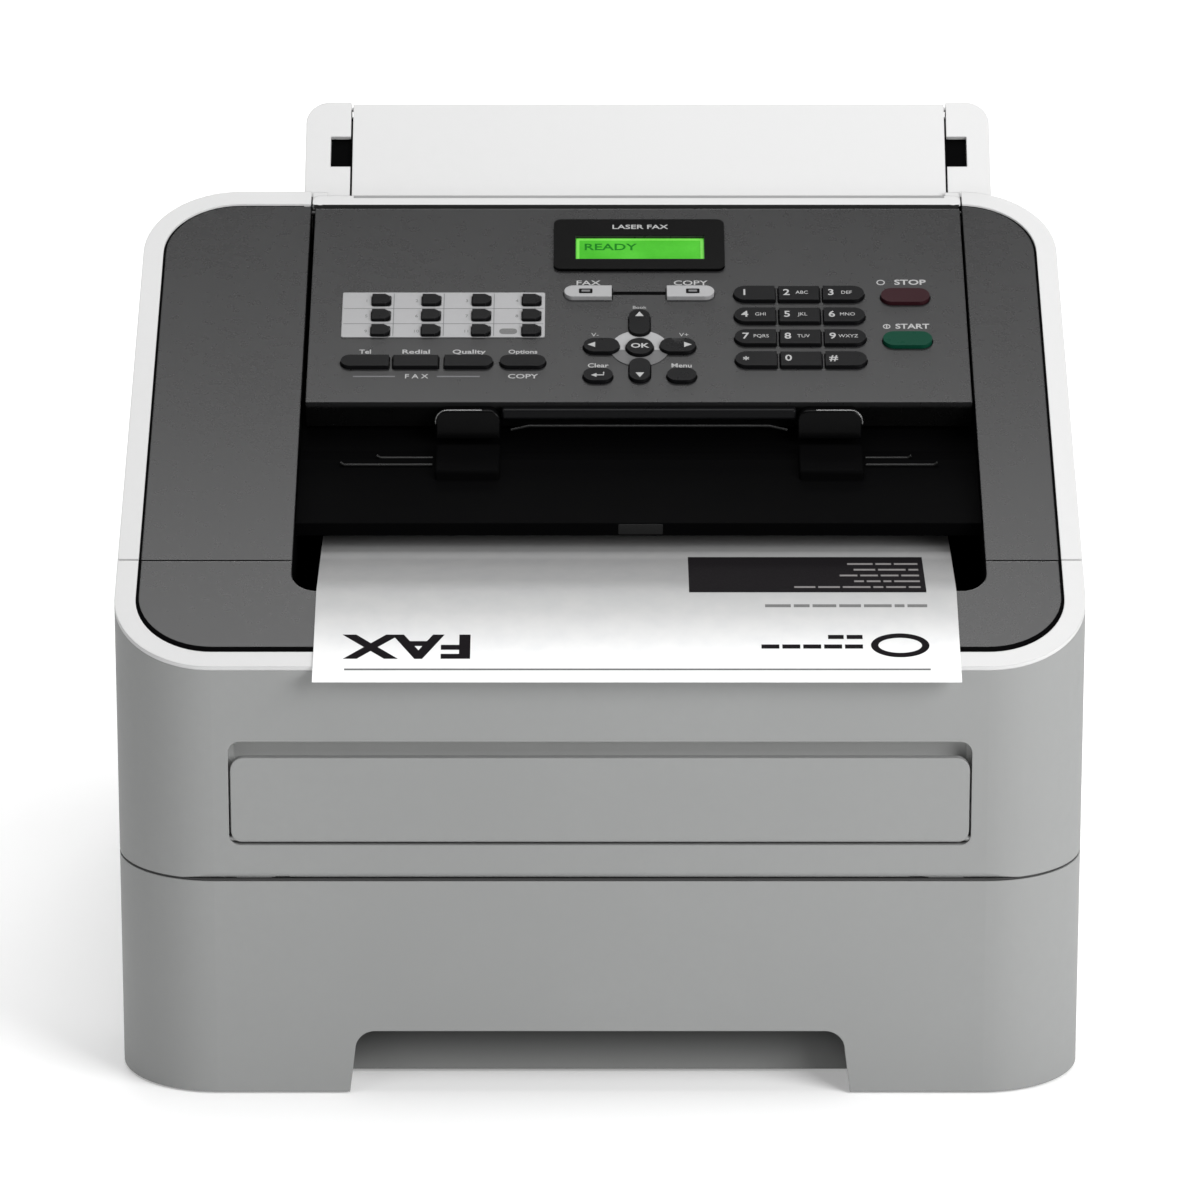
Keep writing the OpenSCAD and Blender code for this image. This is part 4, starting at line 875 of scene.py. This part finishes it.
page_lo, page_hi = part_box("printed_page")
page_drop = page_hi.z - PAGE_T - page_lo.z
crest = Vector((0, page_lo.y + page_drop / math.tan(SLOPE), page_hi.z - PAGE_T))
LIP = (crest.y - page_lo.y) / math.cos(SLOPE)
PAGE_L = LIP + page_hi.y - crest.y
PAGE_SKIN = PAGE_T * 0.8
BEND_R = 12 * MM


def page_point(x, d, lift=0.0):
    """A point of the sheet: x across, d along it from its front edge, lifted off its lower face."""
    reach = BEND_R * math.tan(SLOPE / 2)
    if d <= LIP - reach:
        y, z, tilt = page_lo.y + d * math.cos(SLOPE), page_lo.z + d * math.sin(SLOPE), SLOPE
    elif d >= LIP + reach:
        y, z, tilt = crest.y + d - LIP, crest.z, 0.0
    else:
        turned = SLOPE * (d - LIP + reach) / (2 * reach)
        tilt = SLOPE - turned
        y = crest.y + reach - BEND_R * math.sin(tilt)
        z = crest.z - BEND_R * (1 - math.cos(tilt))
    return Vector((x, y - lift * math.sin(tilt), z + lift * math.cos(tilt)))


def carried(mesh, lift):
    """A mesh drawn flat as (x, d, height), carried onto the sheet."""
    for v in mesh.vertices:
        v.co = page_point(v.co.x, v.co.y, lift + v.co.z)
    return mesh


def sheet_mesh():
    """The closed, thin sheet."""
    bm = bmesh.new()
    cols, rows = 12, 90
    xs = [page_lo.x + (page_hi.x - page_lo.x) * i / cols for i in range(cols + 1)]
    grids = []
    for lift in (0.0, PAGE_SKIN):
        along = [PAGE_L * j / rows for j in range(rows + 1)]
        grids.append([[bm.verts.new(page_point(x, d, lift)) for x in xs] for d in along])
    for grid, flip in zip(grids, (True, False)):
        for j in range(rows):
            for i in range(cols):
                corners = [grid[j][i], grid[j][i + 1], grid[j + 1][i + 1], grid[j + 1][i]]
                bm.faces.new(corners[::-1] if flip else corners)
    lower, upper = grids
    edge = [(0, i) for i in range(cols + 1)] + [(j, cols) for j in range(1, rows + 1)]
    edge += [(rows, i) for i in range(cols - 1, -1, -1)] + [(j, 0) for j in range(rows - 1, 0, -1)]
    for (j, i), (next_j, next_i) in zip(edge, edge[1:] + edge[:1]):
        bm.faces.new((lower[j][i], lower[next_j][next_i], upper[next_j][next_i], upper[j][i]))
    return to_mesh(bm)


def bar(x0, x1, d0, d1):
    """A printed bar, in short rows so that it follows the bend."""
    rows = max(1, int((d1 - d0) / (2 * MM)))
    ends = [d0 + (d1 - d0) * i / rows for i in range(rows + 1)]
    return joined([slab(rounded(x0, x1, a, b), 0, INK_T) for a, b in zip(ends, ends[1:])])


def greeked(x0, x1, d, tall, step):
    """A line of print shown as word-long bars, whose lengths follow from the first step."""
    parts, x = [], x1
    while x > x0 + 2 * MM:
        step = (step * 7 + 3) % 11
        wide = (3.0 + step * 0.75) * MM
        parts.append(bar(max(x0, x - wide), x, d, d + tall))
        x -= wide + 1.1 * MM
    return parts


left_margin, right_margin = page_lo.x + 11.8 * MM, page_hi.x - 11.4 * MM
# Distance of the heading's and the badge's middle from the front edge
HEADING_D = 21.3 * MM
block_x0, block_d0, block_d1 = right_margin - 90 * MM, LIP - 1 * MM, LIP + 41.6 * MM
ink = [bar(block_x0, right_margin, block_d0, block_d1)]
ink.append(words("FAX", left_margin + 24.4 * MM, HEADING_D, 19 * MM, 0, wide=1.36, bold=0.62 * MM,
                 turned=True, thick=INK_T))
badge_x = right_margin - 11 * MM
badge, hole = oval(badge_x, HEADING_D, 11 * MM, 7 * MM), oval(badge_x, HEADING_D, 8.2 * MM, 4.4 * MM)
ink.append(cut(slab(badge, 0, INK_T), [through(hole)]))
line_x0, line_x1 = right_margin - 64 * MM, right_margin - 25 * MM
ink += greeked(line_x0, line_x1, 19.4 * MM, 2.4 * MM, 5)
ink += greeked(right_margin - 38 * MM, line_x1, 25.0 * MM, 2.4 * MM, 8)
grey_ink = [bar(left_margin, right_margin, 6.7 * MM, 7.8 * MM)]
grey_ink += greeked(line_x0, right_margin, 43.8 * MM, 1.7 * MM, 2)
pale = []
for i, long in enumerate((46, 23, 29, 25, 27)):
    line_x0, line_d = right_margin - (4 + long) * MM, block_d0 + (4 + 7.2 * i) * MM
    pale += greeked(line_x0, right_margin - 2 * MM, line_d, 2.0 * MM, 3 + i)

layers = [(sheet_mesh(), PAPER)]
for flat, look, lift in ((ink, INK, 0), (grey_ink, GREY_INK, 0), (pale, PALE_INK, INK_T)):
    layers.append((carried(joined(flat), PAGE_SKIN + lift), look))
page_mesh = joined([mesh for mesh, look in layers])
page_mesh.name = "printed_sheet"
first = 0
for index, (mesh, look) in enumerate(layers):
    page_mesh.materials.append(look)
    last = first + len(mesh.polygons)
    for face in page_mesh.polygons[first:last]:
        face.material_index = index
    first = last
smoothed(page_mesh)
page = bpy.data.objects.new("printed_sheet", page_mesh)
bpy.context.scene.collection.objects.link(page)
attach(page, "printed_page")
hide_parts("printed_page")
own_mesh(page)

# ---- Document tray: the dark pockets beside the flap, and painted shade in the gaps at its sides ----

flap = Extent("document_flap", TRAY_FRAME)
PIN_REACH, GAP, WINDOW_W = 3.5 * MM, 0.8 * MM, 8.2 * MM
FLAP_X0, FLAP_X1 = flap.x0 + PIN_REACH, flap.x1 - PIN_REACH


def beside_flap(near, far, s0, s1, low, high):
    """A block beside each side edge of the flap, between two distances from that edge."""
    outlines = rounded(FLAP_X0 - far, FLAP_X0 - near, s0, s1), rounded(FLAP_X1 + near, FLAP_X1 + far, s0, s1)
    return [slab(outline, low, high) for outline in outlines]


pockets = beside_flap(0.05 * MM, GAP + WINDOW_W - 0.1 * MM, 15.9 * MM, 30.2 * MM, -3.15 * MM, -1.9 * MM)
# Painted shade: black strips under the gaps beside the flap
gap_shadows = beside_flap(0.03 * MM, GAP - 0.02 * MM, flap.s0, flap.s1 - 6 * MM, -1.68 * MM, -1.0 * MM)
gap_shadows += beside_flap(GAP - 0.32 * MM, GAP - 0.02 * MM, flap.s1 - 5 * MM, flap.s1 - 2.8 * MM, -3.1 * MM,
                     -0.1 * MM)
# Painted shadow: a grey strip on the tray's top along the foot of the flap
flap_shadow_plan = rounded(FLAP_X0 + 1 * MM, FLAP_X1 - 1 * MM, up_slope(95.9 * MM), up_slope(97.4 * MM))
piece("flap_foot_line", [slab(flap_shadow_plan, -0.2 * MM, SKIN)], GREY, "main_frame", SLOPE_FRAME)
piece("flap_pockets", pockets, BLACK, "main_frame", TRAY_FRAME)
piece("flap_gap_seals", gap_shadows, BLACK, "main_frame", TRAY_FRAME)

# ---- Screws and blank label on the rear ----

SCREW_R, RECESS_W = 3.2 * MM, 0.7 * MM
# The profile of a pan head, as (share of the radius, height in mm)
HEAD_PROFILE = ((1, 0.0), (1, 0.5), (0.86, 1.1), (0.5, 1.45))


def screw(x, z, y):
    """A pan-head screw with a cross recess, facing the rear."""
    bm = bmesh.new()
    rings = []
    for share, height in HEAD_PROFILE:
        rings.append([bm.verts.new((*point, height * MM)) for point in disc(0, 0, share * SCREW_R, 32)])
    head = loft(bm, rings)
    for wide, tall in ((1.1 * SCREW_R, RECESS_W), (RECESS_W, 1.1 * SCREW_R)):
        head = cut(head, [slab(centred(0, 0, wide, tall), 0.6 * MM, 3 * MM)])
    head.transform(Matrix.Translation((x, y, z)) @ Matrix.Rotation(math.radians(-90), 4, "X"))
    return head


rear_y = housing_hi.y
screws = [screw(x, z, rear_y - 0.1 * MM) for x in (-139 * MM, 139 * MM) for z in (22 * MM, 90 * MM, 150 * MM)]
piece("rear_screws", screws, CHROME, "main_frame")
label_plan = rounded(-120 * MM, -62 * MM, 24 * MM, 58 * MM, 2.5 * MM)
label = upright(label_plan, rear_y - 0.2 * MM, rear_y + 0.25 * MM)
piece("rear_blank_label", [label], SILVER, "main_frame")

# ---- Floor, lights and camera ----

FLOOR_REACH = 6
floor_mesh = slab(rounded(-FLOOR_REACH, FLOOR_REACH, -FLOOR_REACH, FLOOR_REACH), -0.01, 0)
floor = bpy.data.objects.new("floor", floor_mesh)
bpy.context.scene.collection.objects.link(floor)
floor_look, _, floor_bsdf = shader("floor")
floor_bsdf.inputs["Base Color"].default_value = (0.8, 0.8, 0.8, 1)
floor_bsdf.inputs["Roughness"].default_value = 0.9
floor_bsdf.inputs["Specular IOR Level"].default_value = 0.05
floor_bsdf.inputs["Emission Color"].default_value = (1, 1, 1, 1)
floor_bsdf.inputs["Emission Strength"].default_value = 0.25
floor.data.materials.append(floor_look)

world = bpy.data.worlds.new("studio")
world.use_nodes = True
world.node_tree.nodes["Background"].inputs["Color"].default_value = (1, 1, 1, 1)
world.node_tree.nodes["Background"].inputs["Strength"].default_value = 0.22
bpy.context.scene.world = world
bpy.context.scene.view_settings.view_transform = "Standard"
# Each light's name, place, aim, size and power
LIGHTS = (
    ("overhead_softbox", (0.0, 0.13, 1.6), (0.0, 0.13, 0.0), 1.1, 15.5),
    ("right_softbox", (1.05, -1.05, 0.85), (0.0, -0.1, 0.12), 0.9, 24),
    ("left_fill", (-1.2, -1.3, 0.8), (0.0, -0.1, 0.12), 1.0, 5),
    ("backdrop_light", (0.0, 2.3, 1.1), (0.0, 1.2, 0.0), 1.6, 30),
)
for name, place, aim, size, power in LIGHTS:
    data = bpy.data.lights.new(name, "AREA")
    data.shape, data.size, data.energy = "SQUARE", size, power
    lamp = bpy.data.objects.new(name, data)
    lamp.location = place
    lamp.rotation_euler = (Vector(aim) - Vector(place)).to_track_quat("-Z", "Y").to_euler()
    bpy.context.scene.collection.objects.link(lamp)

# The camera looks down at a point this high over the middle of the desk
VIEW_PITCH, VIEW_DISTANCE, VIEW_Z = math.radians(18), 2.8, 0.1398
camera_data = bpy.data.cameras.new("camera")
camera_data.lens, camera_data.sensor_width = 209.8, 36
camera = bpy.data.objects.new("camera", camera_data)
camera.location = (0, -VIEW_DISTANCE * math.cos(VIEW_PITCH), VIEW_Z + VIEW_DISTANCE * math.sin(VIEW_PITCH))
camera.rotation_euler = (math.pi / 2 - VIEW_PITCH, 0, 0)
bpy.context.scene.collection.objects.link(camera)
bpy.context.scene.camera = camera
